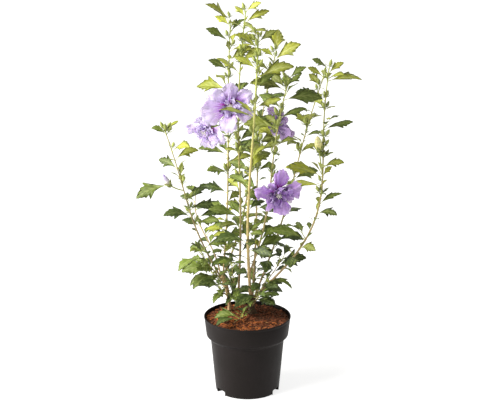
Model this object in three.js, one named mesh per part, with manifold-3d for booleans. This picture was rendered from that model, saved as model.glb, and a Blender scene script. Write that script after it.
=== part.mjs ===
// A rose of sharon (Hibiscus syriacus) as a garden centre sells it: one shrub of ten canes from a
// short woody crown, with lobed leaves, flower buds and four double lavender blooms, in a black
// nursery pot that is filled to just under its rim.
//
// Millimetres, +Z up. The origin is the centre of the pot's flat underside. The front is -Y.
// The pot and the root ball are turned solids. Stems and boughs are tapering tubes. Each mass of
// foliage is the leafy length of one cane, or one low shoot, with its leaves, twigs, buds and
// blooms fused to it. A leaf that would touch another mass or a limb is turned, made smaller, or
// left out, so every mass keeps to its own room.

import * as THREE from "three";
import { mergeVertices } from "three/addons/utils/BufferGeometryUtils.js";
import Module from "manifold-3d";

const wasm = await Module();
wasm.setup();

const { PI, abs, cos, sin, hypot, floor, round, max, min } = Math;
const DEGREE = PI / 180;
const V = (x, y, z) => new THREE.Vector3(x, y, z);
const UP = V(0, 0, 1);
const between = ([low, high], share) => low + (high - low) * share;

// ---------------------------------------------------------------- driving dimensions

const GAP = 0.3; // clearance between neighbouring solids
const GROUND = 192; // height of the soil where the stems come out of it

const POT = {
  height: 196,
  rimRadius: 110,
  collarHeight: 49, // the wide band under the rim
  collarFootRadius: 104,
  shoulder: 9, // height of the step from the collar in to the body
  bodyRadius: 93.5,
  baseRadius: 81,
  wall: 2,
  floor: 3,
  facets: 44,
};
const NOTCH = { count: 3, turn: -26, width: 34, height: 12, depth: 15, roof: 2, drain: 9 };
const SOIL = { flatRadius: 66, edgeHeight: 188, facets: 28 };

const FLARE_HEIGHT = 14; // a stem's foot widens below this height over the ground

// Woody stems: from the flat cut at the ground to the fork that the boughs leave from.
const STEMS = {
  stem_main: { start: [12, 22, GROUND], tip: [12.5, 22, 240], bow: [-2, 1], radius: [8.6, 8.2], flare: 4.5 },
  stem_left: { start: [-46, 45, GROUND], tip: [-65, 40.5, 290], bow: [5, 0], radius: [4, 6], flare: 2.5 },
  stem_second: { start: [-33, 51, GROUND], tip: [-22, 36, 262], bow: [2, 2], radius: [3, 2.9], flare: 1.5 },
};
// Canes. Each runs from `start` to `tip`, bows sideways by `bow` at mid length and sways by `sway`
// at the quarters. Below `leafy` it is a bare bough; above it is the stem of a mass of foliage.
// `leaves` says where each leaf points, node by node up the cane: a letter is an hour on a clock
// face that lies on the ground with twelve to the back, a for one o'clock and so on to l for
// twelve. A capital is a large leaf with a twig in its axil, and a dot is a node with no leaf.
const CANES = [
  {
    name: "far_left", from: "stem_left", start: [-69.5, 38, 287], tip: [-194, -90, 692],
    bow: [-11, -14], sway: [-5, 7], leafy: 345, radius: [2.3, 1.1], seed: 11,
    leaves: "ic..dIcb...jcd.", crown: "bi",
  },
  {
    name: "left_inner", from: "stem_left", start: [-68, 44.5, 287], tip: [-134, 160, 476],
    bow: [-11, 2], sway: [9, -8], leafy: 335, radius: [2.1, 1.0], seed: 12,
    leaves: ".kcicCj", crown: "bk",
  },
  {
    name: "left_tall", from: "stem_left", start: [-62, 36.5, 287], tip: [-42, 130, 926],
    bow: [3, 30], sway: [3, 2], leafy: 345, radius: [2.4, 1.2], seed: 13,
    leaves: "hbk.jai.hcIDjl.kbJ.icCib", crown: "Ij",
  },
  {
    name: "tallest", from: "stem_second", start: [-22, 36, 260], tip: [-3, 0, 966],
    bow: [-8, -22], sway: [6, -1], leafy: 325, radius: [2.9, 1.2], seed: 14,
    leaves: "HbgaiIdCkf.lcciCk.a.ic.aEc", crown: "cj",
  },
  {
    name: "front", from: "stem_main", start: [8, 17, 237], tip: [25, -190, 930],
    bow: [-10, -18], sway: [-4, 14], leafy: 345, radius: [4, 1.6], seed: 15,
    leaves: "gCID..b..k.aL....HD.bCj.i", crown: "Ic",
  },
  {
    name: "front_right", from: "bough_front", start: [7, 4.5, 309], tip: [96, -140, 827],
    bow: [5, -17], sway: [7, 0], leafy: 350, radius: [2.4, 1.2], seed: 16,
    leaves: "eCb.i..i.b..HcjIckCH", crown: "cib",
  },
  {
    name: "back_right", from: "stem_main", start: [12.5, 28, 237], tip: [73, 185, 838],
    bow: [-17, 24], sway: [6, -4], leafy: 330, radius: [2.5, 1.2], seed: 17,
    leaves: "dFbb.dck.c.cC.k.ad.li.", crown: "LiC",
  },
  {
    name: "back", from: "stem_left", start: [-61, 44.5, 287], tip: [38, 215, 661],
    bow: [12, 39], sway: [5, 3], leafy: 335, radius: [2.3, 1.1], seed: 18,
    leaves: "gIlbjaL.jbkljb", crown: "lj",
  },
  {
    name: "right_back", from: "stem_main", start: [18, 23.5, 237], tip: [196, 200, 774],
    bow: [10, 38], sway: [5, -1], leafy: 315, radius: [2.5, 1.2], seed: 19,
    leaves: "EdBl.b.alBi.bIcL.g.ij", crown: "ib",
  },
  {
    name: "far_right", from: "stem_main", start: [15.5, 16.5, 237], tip: [193, -60, 837],
    bow: [76, -29], sway: [20, -4], leafy: 330, radius: [2.8, 1.2], seed: 20,
    leaves: "fGeI..dc.JIc...C.ki.C", crown: "ib",
  },
];

// Low leafy shoots round the foot, from a stem or a bough.
const SHOOTS = [
  {
    name: "sucker", from: "stem_main", start: [11, 21, 200], tip: [-33, -80, 206],
    bow: [0, 0], sway: [0, 0], radius: [1.3, 0.8], seed: 40, leaves: "....aih", crown: "",
  },
  {
    name: "low_left", from: "stem_left", start: [-62, 41, 270], tip: [-120, -8, 366],
    bow: [0, 0], sway: [0, 0], radius: [1.6, 0.8], seed: 31, leaves: ".HjIgH", crown: "hij",
  },
  {
    name: "low_left_front", from: "stem_left", start: [-52, 43.5, 233], tip: [-68, -40, 286],
    bow: [-4, 0], sway: [0, 0], radius: [1.6, 0.8], seed: 32, leaves: "gGfGh", crown: "gfh",
  },
  {
    name: "low_left_back", from: "stem_left", start: [-58, 42.5, 255], tip: [-110, 92, 300],
    bow: [0, 6], sway: [0, 0], radius: [1.5, 0.8], seed: 33, leaves: ".JkIl", crown: "jik",
  },
  {
    name: "low_middle", from: "stem_second", start: [-27.5, 45.5, 232], tip: [-38, -60, 350],
    bow: [-2, 0], sway: [0, 0], radius: [1.5, 0.8], seed: 34, leaves: "GFGfHegf", crown: "gfh",
  },
  {
    name: "low_back", from: "stem_main", start: [13, 22, 222], tip: [22, 128, 282],
    bow: [0, 4], sway: [0, 0], radius: [1.6, 0.8], seed: 35, leaves: ".KaLbK", crown: "lka",
  },
  {
    name: "low_back_left", from: "stem_second", start: [-31, 49, 222], tip: [-56, 134, 285],
    bow: [2, 0], sway: [0, 0], radius: [1.5, 0.8], seed: 36, leaves: ".LkLa", crown: "klj",
  },
  {
    name: "low_right_back", from: "stem_main", start: [13, 22, 221], tip: [92, 48, 335],
    bow: [0, 0], sway: [0, 0], radius: [1.6, 0.8], seed: 37, leaves: ".BcAbC", crown: "bca",
  },
  {
    name: "low_right", from: "stem_main", start: [12, 22, 216], tip: [46, -6, 290],
    bow: [0, -2], sway: [0, 0], radius: [1.6, 0.8], seed: 38, leaves: ".EfAeg", crown: "aef",
  },
  {
    name: "low_right_front", from: "stem_main", start: [11, 21, 210], tip: [30, -52, 268],
    bow: [0, 0], sway: [0, 0], radius: [1.5, 0.8], seed: 39, leaves: "GeFcG", crown: "egf",
  },
];

// Double blooms: the cane that carries each, how far up it, the bloom's centre, where it faces, and
// its outer petals as [turn about the bloom from its right-hand side, length, width].
const BLOOMS = [
  {
    on: "tallest", at: 0.62, centre: [-38, -72, 746], faces: [-0.12, -0.95, 0.2], seed: 51,
    outer: [[36, 64, 0.8], [92, 58, 0.9], [150, 66, 0.95], [201, 84, 0.95], [268, 70, 0.9], [335, 62, 0.85]],
  },
  {
    on: "left_tall", at: 0.54, centre: [-94, 24, 674], faces: [-0.52, -0.72, -0.42], seed: 52,
    outer: [[348, 62, 1.25], [302, 46, 0.7], [252, 60, 1], [208, 54, 0.6], [168, 66, 0.45], [88, 62, 0.95]],
  },
  {
    on: "back", at: 0.9, centre: [73, 192, 645], faces: [0.55, 0.75, 0.25], seed: 53,
    outer: [[79, 58, 0.6], [116, 44, 0.5], [205, 50, 0.8], [240, 60, 1], [318, 50, 0.95]],
  },
  {
    on: "front_right", at: 0.42, centre: [70, -142, 555], faces: [0.22, -0.93, -0.18], seed: 54,
    outer: [[14, 62, 0.95], [86, 74, 0.65], [166, 63, 0.85], [236, 52, 0.75], [286, 60, 0.95]],
  },
];

// Buds that are nearly open, on stalks of their own. A large leaf may stand under one.
const LARGE_BUDS = [
  { on: "far_right", at: 0.56, centre: [170, -66, 655], faces: [-0.15, -0.2, 1], length: 41, radius: 10.5 },
  {
    on: "far_left", at: 0.62, centre: [-194, -77, 568], faces: [-0.5, -0.15, 0.85], length: 36, radius: 7.5,
    leaf: { heading: 190, length: 76, rise: -2, droop: 44, roll: 30 },
  },
];

const THREE_SIDED = 1.55; // a three-sided stem's corner radius for the same section as a round one
const STEM_STEP = 60; // about this far between the rings of a stem in a mass
const BOUGH = { sides: 7, step: 24 };

// Ranges are read by a seeded share from 0 to 1. Angles are in degrees: a leaf leaves its stem at
// `rise` above level, and has turned down by `droop` at its tip.
const LEAF = {
  length: [56, 56], // of the blade, near the ground and at the top of a cane
  heights: [250, 850], // where those lengths hold
  vary: [0.82, 1.12],
  large: 1.35, // a capital's blade, against an ordinary one
  crown: 0.72, // a small tip leaf's
  axil: 0.62, // the leaf in a capital's axil, against its capital's
  stalk: 0.17, // stalk length for a blade of length 1
  leastStalk: 5,
  stalkRadius: 0.55,
  thick: 0.03,
  outline: [[0.58, 0.265], [1, 0]], // share along the blade, half width for a blade of length 1
  small: { rise: [30, 54], droop: [60, 105] },
  big: { rise: [12, 38], droop: [40, 95] },
  lift: [1, 0.45], // share of its droop that a leaf keeps, at the two heights
  crownRise: 48,
  stray: 13, // most that a leaf strays from its clock hour
  roll: 25, // most that it leans sideways by chance
};
const LIGHT = { from: -108, turn: 42 }; // leaves lean their faces to the side the light comes from
const AXIL = { turn: 50, rise: 18, above: 0.007 }; // of the leaf in a capital's axil
const CROWN_SPACING = 0.02; // between the leaves at a tip, as a share of the leafy length
const TWIG = {
  chance: 0.35,
  above: 4, // its foot, over its leaf's
  length: [16, 30],
  radius: [1.4, 1.3],
  turn: 29,
  rise: 57,
  spread: [40, 69], // between its axis and each of its two leaves
  roll: 12,
};
const BUD = {
  above: 540, // the height a cane's tip must reach to bear any
  within: 300, // of that tip
  chance: 0.5,
  size: [0.7, 1.2],
  length: 15,
  radius: 4.4,
  stalk: 12,
  stalkRadius: 0.9,
  rise: [55, 75],
};
const PETAL = { thick: 0.035, outline: [[0.62, 0.39], [0.91, 0.33], [1, 0]], rise: [36, 58], droop: [45, 95] };
const PETALOID = { thick: 0.06, outline: [[0.6, 0.25], [1, 0]], rise: [62, 76], droop: [20, 60] };
const INNER = { count: 6, length: [26, 38] }; // a bloom's narrow petals, which stand up inside the others
const CUP = [[-17, 3], [-7, 9.5], [3, 8]]; // a bloom's calyx and middle: height, radius
const COLUMN = 26; // height of the stamens over a bloom's middle

// Room. A leaf that finds no room is turned by so many degrees and made smaller, in this order.
const TRIES = [[0, 1], [25, 0.95], [-25, 0.95], [50, 0.88], [-50, 0.88], [80, 0.8], [-80, 0.8], [0, 0.66]];
const LEAF_ROOM = 4.4; // radius kept free round each sample of a leaf
const LIMB_ROOM = 1.2; // and round a limb, on top of its own radius
const RIB_STEPS = 10; // steps along a blade's midrib

// ---------------------------------------------------------------- solids

function solidOf(geometry) {
  const bare = geometry.clone();
  bare.deleteAttribute("normal");
  bare.deleteAttribute("uv");
  const merged = mergeVertices(bare, 1e-4);
  return new wasm.Manifold(
    new wasm.Mesh({
      numProp: 3,
      vertProperties: merged.attributes.position.array,
      triVerts: new Uint32Array(merged.index.array),
    }),
  );
}

function geometryOf(solid) {
  const mesh = solid.getMesh();
  const geometry = new THREE.BufferGeometry();
  geometry.setAttribute("position", new THREE.BufferAttribute(mesh.vertProperties, 3));
  geometry.setIndex(new THREE.BufferAttribute(mesh.triVerts, 1));
  geometry.computeVertexNormals();
  return geometry;
}

// A closed skin over rings of points that turn the same way about the line they follow. A ring of
// one point is a tip; a larger ring at either end is capped.
function loft(rings) {
  const first = [];
  const points = [];
  for (const ring of rings) {
    first.push(points.length);
    points.push(...ring);
  }
  const faces = [];
  for (let i = 0; i + 1 < rings.length; i++) {
    const [a, b] = [rings[i].length, rings[i + 1].length];
    const sides = max(a, b);
    for (let k = 0; k < sides; k++) {
      const [a0, a1] = [first[i] + (k % a), first[i] + ((k + 1) % a)];
      const [b0, b1] = [first[i + 1] + (k % b), first[i + 1] + ((k + 1) % b)];
      if (a > 1) faces.push(a0, a1, b1);
      if (b > 1) faces.push(a0, b1, b0);
    }
  }
  const end = first.at(-1);
  for (let k = 1; k + 1 < rings[0].length; k++) faces.push(0, k + 1, k);
  for (let k = 1; k + 1 < rings.at(-1).length; k++) faces.push(end, end + k, end + k + 1);
  const geometry = new THREE.BufferGeometry();
  const numbers = points.flatMap((point) => point.toArray());
  geometry.setAttribute("position", new THREE.Float32BufferAttribute(numbers, 3));
  geometry.setIndex(faces);
  return solidOf(geometry);
}

const fuse = (solids) => wasm.Manifold.union(solids);

// The largest body of a solid, without the scraps that a cut leaves.
function largest(solid) {
  return solid.decompose().reduce((best, body) => (body.volume() > best.volume() ? body : best));
}

// ---------------------------------------------------------------- limbs

// The point at share t of a limb's length.
function pointOn(limb, t) {
  const p = V(...limb.start).lerp(V(...limb.tip), t);
  const [bow, sway] = [limb.bow ?? [0, 0], limb.sway ?? [0, 0]];
  p.x += bow[0] * sin(PI * t) + sway[0] * sin(2 * PI * t);
  p.y += bow[1] * sin(PI * t) + sway[1] * sin(2 * PI * t);
  return p;
}

const radiusOn = (limb, t) => between(limb.radius, t);
const lengthOf = (limb) => V(...limb.start).distanceTo(V(...limb.tip));

function ringAt(centre, along, radius, sides) {
  const across = (abs(along.x) < 0.8 ? V(1, 0, 0) : V(0, 1, 0)).projectOnPlane(along).normalize();
  const third = along.clone().cross(across);
  return Array.from({ length: sides }, (_, k) => {
    const turn = (2 * PI * k) / sides;
    return centre
      .clone()
      .addScaledVector(across, radius * cos(turn))
      .addScaledVector(third, radius * sin(turn));
  });
}

// A tapering tube along a limb from share t0 to share t1, fatter all over by `extra`.
function tube(limb, t0, t1, sides, steps, extra = 0) {
  const rings = [];
  for (let i = 0; i <= steps; i++) {
    const t = t0 + ((t1 - t0) * i) / steps;
    const along = pointOn(limb, t + 0.01).sub(pointOn(limb, t - 0.01)).normalize();
    rings.push(ringAt(pointOn(limb, t), along, radiusOn(limb, t) + extra, sides));
  }
  return loft(rings);
}

// A woody stem on level rings, so that its foot is a flat cut, with a flare at the ground and a
// knuckle at the fork.
function stem(limb, extra = 0) {
  const sides = 10;
  const height = limb.tip[2] - limb.start[2];
  const shares = [0, 4 / height, FLARE_HEIGHT / height, 0.45, 0.8, 0.94, 1];
  const swell = [limb.flare, limb.flare * 0.55, 0, 0, 0.4, 0.3, -1.4];
  const radius = (t, i) => radiusOn(limb, t) + swell[i] + extra;
  return loft(shares.map((t, i) => ringAt(pointOn(limb, t), UP, radius(t, i), sides)));
}

// ---------------------------------------------------------------- blades: leaves and petals

// The same stream of numbers from 0 to 1 for the same seed.
function seeded(seed) {
  let state = seed >>> 0;
  return () => {
    state = (state + 0x6d2b79f5) >>> 0;
    let mixed = Math.imul(state ^ (state >>> 15), state | 1);
    mixed ^= mixed + Math.imul(mixed ^ (mixed >>> 7), mixed | 61);
    return ((mixed ^ (mixed >>> 14)) >>> 0) / 4294967296;
  };
}

// The point at `reach` from an origin, `rise` from `out` towards `up`.
const inPlane = (origin, out, up, rise, reach) =>
  origin.clone().addScaledVector(out, reach * cos(rise)).addScaledVector(up, reach * sin(rise));

// A blade's midrib: it leaves `root` along `out`, risen towards `up`, and droops as it goes.
function midrib(blade) {
  const step = (blade.stalk + blade.length) / RIB_STEPS;
  const points = [blade.root.clone()];
  const rises = [];
  for (let i = 0; i < RIB_STEPS; i++) {
    const rise = (blade.rise - blade.droop * ((i + 0.5) / RIB_STEPS) ** 1.4) * DEGREE;
    rises.push(rise);
    points.push(inPlane(points[i], blade.out, blade.up, rise, step));
  }
  return { points, rises, step };
}

// The midrib's point and the blade's own right-hand and upward directions, at distance s along it.
function frameAt(blade, rib, s) {
  const i = min(RIB_STEPS - 1, floor(s / rib.step));
  const centre = rib.points[i].clone().lerp(rib.points[i + 1], s / rib.step - i);
  const flat = blade.out.clone().cross(blade.up);
  const above = inPlane(V(0, 0, 0), blade.up, blade.out, -rib.rises[i], 1);
  const roll = blade.roll * DEGREE;
  const right = flat.clone().multiplyScalar(cos(roll)).addScaledVector(above, sin(roll));
  const top = above.multiplyScalar(cos(roll)).addScaledVector(flat, -sin(roll));
  return { centre, right, top };
}

// Two edges and the midrib below them.
function bladeRing({ centre, right, top }, half, thick) {
  return [
    centre.clone().addScaledVector(right, half).addScaledVector(top, thick / 2),
    centre.clone().addScaledVector(top, -thick / 2),
    centre.clone().addScaledVector(right, -half).addScaledVector(top, thick / 2),
  ];
}

// A stalk and a thin keeled blade as one closed solid.
function bladeSolid(blade, kind) {
  const rib = midrib(blade);
  const stalk = blade.stalkRadius;
  const rings = [0, blade.stalk].map((s) => bladeRing(frameAt(blade, rib, s), stalk, 2 * stalk));
  const thick = blade.length * kind.thick;
  for (const [along, half] of kind.outline) {
    const frame = frameAt(blade, rib, blade.stalk + blade.length * along);
    rings.push(half ? bladeRing(frame, half * blade.length * blade.wide, thick) : [frame.centre]);
  }
  return loft(rings);
}

// Half width of an outline at share u of the blade.
function halfWidth(outline, u) {
  let [from, width] = [0, 0.02];
  for (const [along, half] of outline) {
    if (u <= along) return width + ((half - width) * (u - from)) / (along - from);
    [from, width] = [along, half];
  }
  return 0;
}

// Points spread over a blade, which stand for it when room is looked for.
function bladeSamples(blade, kind) {
  const rib = midrib(blade);
  const samples = [];
  for (let i = 0; i <= 9; i++) {
    const u = i / 9;
    const { centre, right, top } = frameAt(blade, rib, blade.stalk + blade.length * u);
    const half = halfWidth(kind.outline, u) * blade.length * blade.wide;
    for (const v of [-1, -0.5, 0, 0.5, 1]) {
      if (v !== 0 && half * abs(v) < 3) continue;
      samples.push(centre.clone().addScaledVector(right, half * v));
    }
  }
  return samples;
}

// ---------------------------------------------------------------- room

// What has grown so far, as balls with an owner, in a grid of cubes.
class Room {
  constructor() {
    this.cube = 14;
    this.cubes = new Map();
  }

  key(i, j, k) {
    return (i * 4096 + j) * 4096 + k;
  }

  add(point, radius, owner) {
    const [i, j, k] = point.toArray().map((c) => floor(c / this.cube));
    const key = this.key(i, j, k);
    if (!this.cubes.has(key)) this.cubes.set(key, []);
    this.cubes.get(key).push({ point, radius, owner });
  }

  // True if no ball of another owner comes within reach of the point.
  clear(point, radius, owner) {
    const [i, j, k] = point.toArray().map((c) => floor(c / this.cube));
    for (let di = -1; di <= 1; di++)
      for (let dj = -1; dj <= 1; dj++)
        for (let dk = -1; dk <= 1; dk++)
          for (const ball of this.cubes.get(this.key(i + di, j + dj, k + dk)) ?? [])
            if (ball.owner !== owner && ball.point.distanceTo(point) < ball.radius + radius) return false;
    return true;
  }
}

const room = new Room();

function claimLimb(limb, t0, t1, owner) {
  const count = Math.ceil(V(...limb.start).distanceTo(V(...limb.tip)) / 5);
  for (let i = 0; i <= count; i++) {
    const t = t0 + ((t1 - t0) * i) / count;
    room.add(pointOn(limb, t), radiusOn(limb, t) + LIMB_ROOM, owner);
  }
}

// ---------------------------------------------------------------- what a mass carries

// Headings are in degrees from +X towards +Y.
const headingOf = (letter) => 90 - 30 * (letter.toLowerCase().charCodeAt(0) - 96);
const towards = (heading) => V(cos(heading * DEGREE), sin(heading * DEGREE), 0);
const leaning = (out, rise) => inPlane(V(0, 0, 0), out, UP, rise * DEGREE, 1);

// A leaf if there is room for it in the mass and in the whole crown, and over the pot.
function tryLeaf(mass, wish, own) {
  for (const [turn, scale] of TRIES) {
    const leaf = {
      ...wish,
      up: UP,
      out: towards(wish.heading + turn),
      length: wish.length * scale,
      stalk: max(LEAF.leastStalk, wish.length * scale * LEAF.stalk),
      stalkRadius: LEAF.stalkRadius,
      wide: 1,
    };
    const samples = bladeSamples(leaf, LEAF);
    const onPot = samples.some((p) => p.z < GROUND + 3 && hypot(p.x, p.y) < POT.rimRadius + 4);
    const clash = samples.some((p) => !room.clear(p, LEAF_ROOM, mass) || !own.clear(p, LEAF_ROOM, leaf));
    if (onPot || clash) continue;
    for (const p of samples) {
      room.add(p, LEAF_ROOM, mass);
      own.add(p, LEAF_ROOM / 2, leaf);
    }
    return leaf;
  }
  return null;
}

function tryBud(mass, bud, own) {
  const middle = bud.root.clone().addScaledVector(bud.axis, bud.stalk + bud.length / 2);
  if (!room.clear(middle, bud.radius + 2, mass) || !own.clear(middle, bud.radius, bud)) return null;
  room.add(middle, bud.radius + 2, mass);
  own.add(middle, bud.radius, bud);
  return bud;
}

function budSolid({ root, axis, stalk, length, radius }) {
  const at = (s) => root.clone().addScaledVector(axis, s);
  const rings = [[0, BUD.stalkRadius], [stalk, BUD.stalkRadius], [stalk + length * 0.4, radius]];
  return loft([...rings.map(([s, r]) => ringAt(at(s), axis, r, 3)), [at(stalk + length)]]);
}

// A value at a height, from its pair for the two heights that leaves are sized by.
function atHeight(pair, z) {
  const [foot, top] = LEAF.heights;
  return between(pair, max(0, min(1, (z - foot) / (top - foot))));
}

// The leaves, twigs and buds of one leafy stem, worked out from its letters and its seed. `from`
// is the share of the limb where the foliage begins.
function grow(mass, limb, from) {
  const random = seeded(limb.seed);
  const own = new Room();
  const grown = { leaves: [], twigs: [], buds: [] };
  const keepLeaf = (wish) => {
    const leaf = tryLeaf(mass, wish, own);
    if (leaf) grown.leaves.push(leaf);
    return leaf;
  };
  for (const bud of LARGE_BUDS.filter(({ on, leaf }) => on === limb.name && leaf))
    keepLeaf({ ...bud.leaf, root: V(...stalkTo(bud, limb).tip) });
  const nodes = limb.leaves.length;
  [...(limb.leaves + limb.crown)].forEach((letter, i) => {
    const [stray, size, rise, droop, roll, budChance, budTurn, side] = Array.from({ length: 8 }, random);
    if (letter === ".") return;
    const crown = i >= nodes;
    const large = letter !== letter.toLowerCase();
    const share = crown ? 1 - CROWN_SPACING * (i - nodes + 0.4) : (i + 0.15) / (nodes + 0.5);
    const t = between([from, 1], share);
    const root = pointOn(limb, t);
    const heading = headingOf(letter) + between([-LEAF.stray, LEAF.stray], stray);
    let length = atHeight(LEAF.length, root.z) * between(LEAF.vary, size);
    if (large) length *= LEAF.large;
    else if (crown) length *= LEAF.crown;
    const posture = large ? LEAF.big : LEAF.small;
    const lean = LIGHT.turn * sin((heading - LIGHT.from) * DEGREE);
    const wish = {
      root,
      heading,
      length,
      rise: crown ? LEAF.crownRise : between(posture.rise, rise),
      droop: between(posture.droop, droop) * atHeight(LEAF.lift, root.z),
      roll: between([-LEAF.roll, LEAF.roll], roll) - lean,
    };
    const leaf = keepLeaf(wish);
    if (limb.tip[2] > BUD.above && root.z > limb.tip[2] - BUD.within && budChance < BUD.chance) {
      const scale = between(BUD.size, side);
      const bud = tryBud(mass, {
        root: pointOn(limb, min(0.998, t + 0.012)),
        axis: leaning(towards(heading + between([-30, 30], budTurn)), between(BUD.rise, budTurn)),
        stalk: BUD.stalk * scale,
        length: BUD.length * scale,
        radius: BUD.radius * scale,
      }, own);
      if (bud) grown.buds.push(bud);
    }
    if (!large || crown || !leaf) return;
    const turn = side < 0.5 ? -1 : 1;
    if (budTurn >= TWIG.chance) {
      const axil = pointOn(limb, t + AXIL.above);
      const turned = { heading: heading + turn * AXIL.turn, rise: wish.rise + AXIL.rise };
      keepLeaf({ ...wish, ...turned, root: axil, length: length * LEAF.axil });
      return;
    }
    // A short twig with two leaves, one at its end and one half way along.
    const start = root.clone().addScaledVector(UP, TWIG.above);
    const twigHeading = heading + turn * TWIG.turn;
    const axis = leaning(towards(twigHeading), TWIG.rise);
    const reach = between(TWIG.length, budTurn);
    const end = start.clone().addScaledVector(axis, reach);
    if (!room.clear(end, 3, mass)) return;
    const leaves = [[1, 1.5], [-1, 0.45 * reach]].map(([way, back]) =>
      keepLeaf({
        root: end.clone().addScaledVector(axis, -back),
        heading: twigHeading + way * between(TWIG.spread, budChance),
        length: length * LEAF.axil * (way > 0 ? 0.95 : 0.85),
        rise: between([40, 60], droop),
        droop: between([40, 80], roll),
        roll: way * TWIG.roll,
      }),
    );
    if (!leaves.some(Boolean)) return;
    const twig = { start: start.toArray(), tip: end.toArray(), radius: TWIG.radius };
    grown.twigs.push(twig);
    claimLimb(twig, 0, 1, mass);
  });
  return grown;
}

// ---------------------------------------------------------------- blooms

// The petals of a bloom, as blades about the way it faces: its own broad ones, and narrow ones that
// stand up inside them.
function petalsOf(bloom) {
  const random = seeded(bloom.seed);
  const faces = V(...bloom.faces).normalize();
  const across = UP.clone().cross(faces).normalize();
  const over = faces.clone().cross(across);
  const centre = V(...bloom.centre);
  const petal = (kind, turn, length, wide, lean) => {
    const [rise, droop, roll] = Array.from({ length: 3 }, random);
    return {
      root: centre.clone().addScaledVector(faces, -7),
      out: across.clone().multiplyScalar(cos(turn * DEGREE)).addScaledVector(over, sin(turn * DEGREE)),
      up: faces,
      stalk: 10,
      stalkRadius: 2,
      length: length - 6,
      wide,
      rise: between(kind.rise, rise),
      droop: between(kind.droop, droop),
      roll: lean * (roll - 0.5),
    };
  };
  const outer = bloom.outer.map(([turn, length, wide]) => petal(PETAL, turn, length, wide, 40));
  const inner = Array.from({ length: INNER.count }, (_, k) => {
    const turn = (360 * (k + 0.5 * random())) / INNER.count;
    return petal(PETALOID, turn, between(INNER.length, random()), 1, 50);
  });
  return { outer, inner, faces, centre };
}

// The stalk that carries a bloom or a large bud, from its cane to just behind its middle.
function stalkTo(flower, limb) {
  const tip = V(...flower.centre).addScaledVector(V(...flower.faces).normalize(), -15);
  return { start: pointOn(limb, flower.at).toArray(), tip: tip.toArray(), radius: [1.3, 1.5] };
}

function bloomSolids(bloom, limb) {
  const { outer, inner, faces, centre } = petalsOf(bloom);
  const at = (height) => centre.clone().addScaledVector(faces, height);
  return [
    tube(stalkTo(bloom, limb), 0, 1, 3, 2),
    loft([...CUP.map(([height, radius]) => ringAt(at(height), faces, radius, 5)), [at(COLUMN)]]),
    ...outer.map((petal) => bladeSolid(petal, PETAL)),
    ...inner.map((petal) => bladeSolid(petal, PETALOID)),
  ];
}

function largeBudSolids(bud, limb) {
  const faces = V(...bud.faces).normalize();
  const at = (share) => V(...bud.centre).addScaledVector(faces, share * bud.length);
  const rings = [[-0.5, 3], [-0.12, bud.radius], [0.2, bud.radius * 0.8]];
  return [
    tube(stalkTo(bud, limb), 0, 1, 3, 2),
    loft([...rings.map(([share, r]) => ringAt(at(share), faces, r, 6)), [at(0.5)]]),
  ];
}

// Blooms and large buds take their room before any leaf does.
function claimFlowers() {
  for (const bloom of BLOOMS) {
    const { outer, inner } = petalsOf(bloom);
    const owner = "foliage_" + bloom.on;
    for (const petal of outer) for (const p of bladeSamples(petal, PETAL)) room.add(p, LEAF_ROOM + 1, owner);
    for (const petal of inner) for (const p of bladeSamples(petal, PETALOID)) room.add(p, LEAF_ROOM, owner);
  }
  for (const bud of LARGE_BUDS) room.add(V(...bud.centre), bud.length / 2, "foliage_" + bud.on);
  for (const flower of [...BLOOMS, ...LARGE_BUDS])
    claimLimb(stalkTo(flower, caneNamed(flower.on)), 0, 1, "foliage_" + flower.on);
}

// ---------------------------------------------------------------- the pot and its filling

// A turned solid: a profile of [radius, height] from the axis round to the axis.
function turned(profile, facets) {
  const outline = profile.map(([r, z]) => new THREE.Vector2(r, z));
  return solidOf(new THREE.LatheGeometry(outline, facets).rotateX(PI / 2));
}

function notchBlock(turn, inner, outer, width, low, high) {
  const block = new THREE.BoxGeometry(outer - inner, width, high - low);
  block.translate((inner + outer) / 2, 0, (low + high) / 2);
  block.rotateZ(turn);
  return solidOf(block);
}

const notchTurns = Array.from(
  { length: NOTCH.count },
  (_, k) => (NOTCH.turn + (360 * k) / NOTCH.count) * DEGREE,
);
const notchInner = POT.baseRadius - POT.wall - NOTCH.depth;

function pot() {
  const { height, rimRadius, collarHeight, collarFootRadius, shoulder, bodyRadius, baseRadius, wall } = POT;
  const collarFoot = height - collarHeight;
  const outside = [
    [0, 0], [baseRadius - 3, 0], [baseRadius, 3], [bodyRadius, collarFoot - shoulder],
    [collarFootRadius, collarFoot], [rimRadius - 1.2, height - 4],
    [rimRadius, height - 3], [rimRadius, height],
  ];
  const inside = [
    [rimRadius - wall - 0.6, height], [collarFootRadius - wall, collarFoot + 1],
    [bodyRadius - wall, collarFoot - shoulder + 1], [baseRadius - wall, POT.floor + 2],
    [baseRadius - wall - 2, POT.floor], [0, POT.floor],
  ];
  let shell = turned([...outside, ...inside], POT.facets);
  const { width, height: rise, roof, drain } = NOTCH;
  for (const turn of notchTurns) {
    shell = shell
      .add(notchBlock(turn, notchInner - roof, baseRadius - 1, width + 2 * roof, 0.5, rise + roof))
      .subtract(notchBlock(turn, notchInner, baseRadius + 20, width, -1, rise))
      .subtract(notchBlock(turn, notchInner + 3, notchInner + 3 + drain, drain, rise - 1, rise + roof + 1));
  }
  return shell;
}

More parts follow.
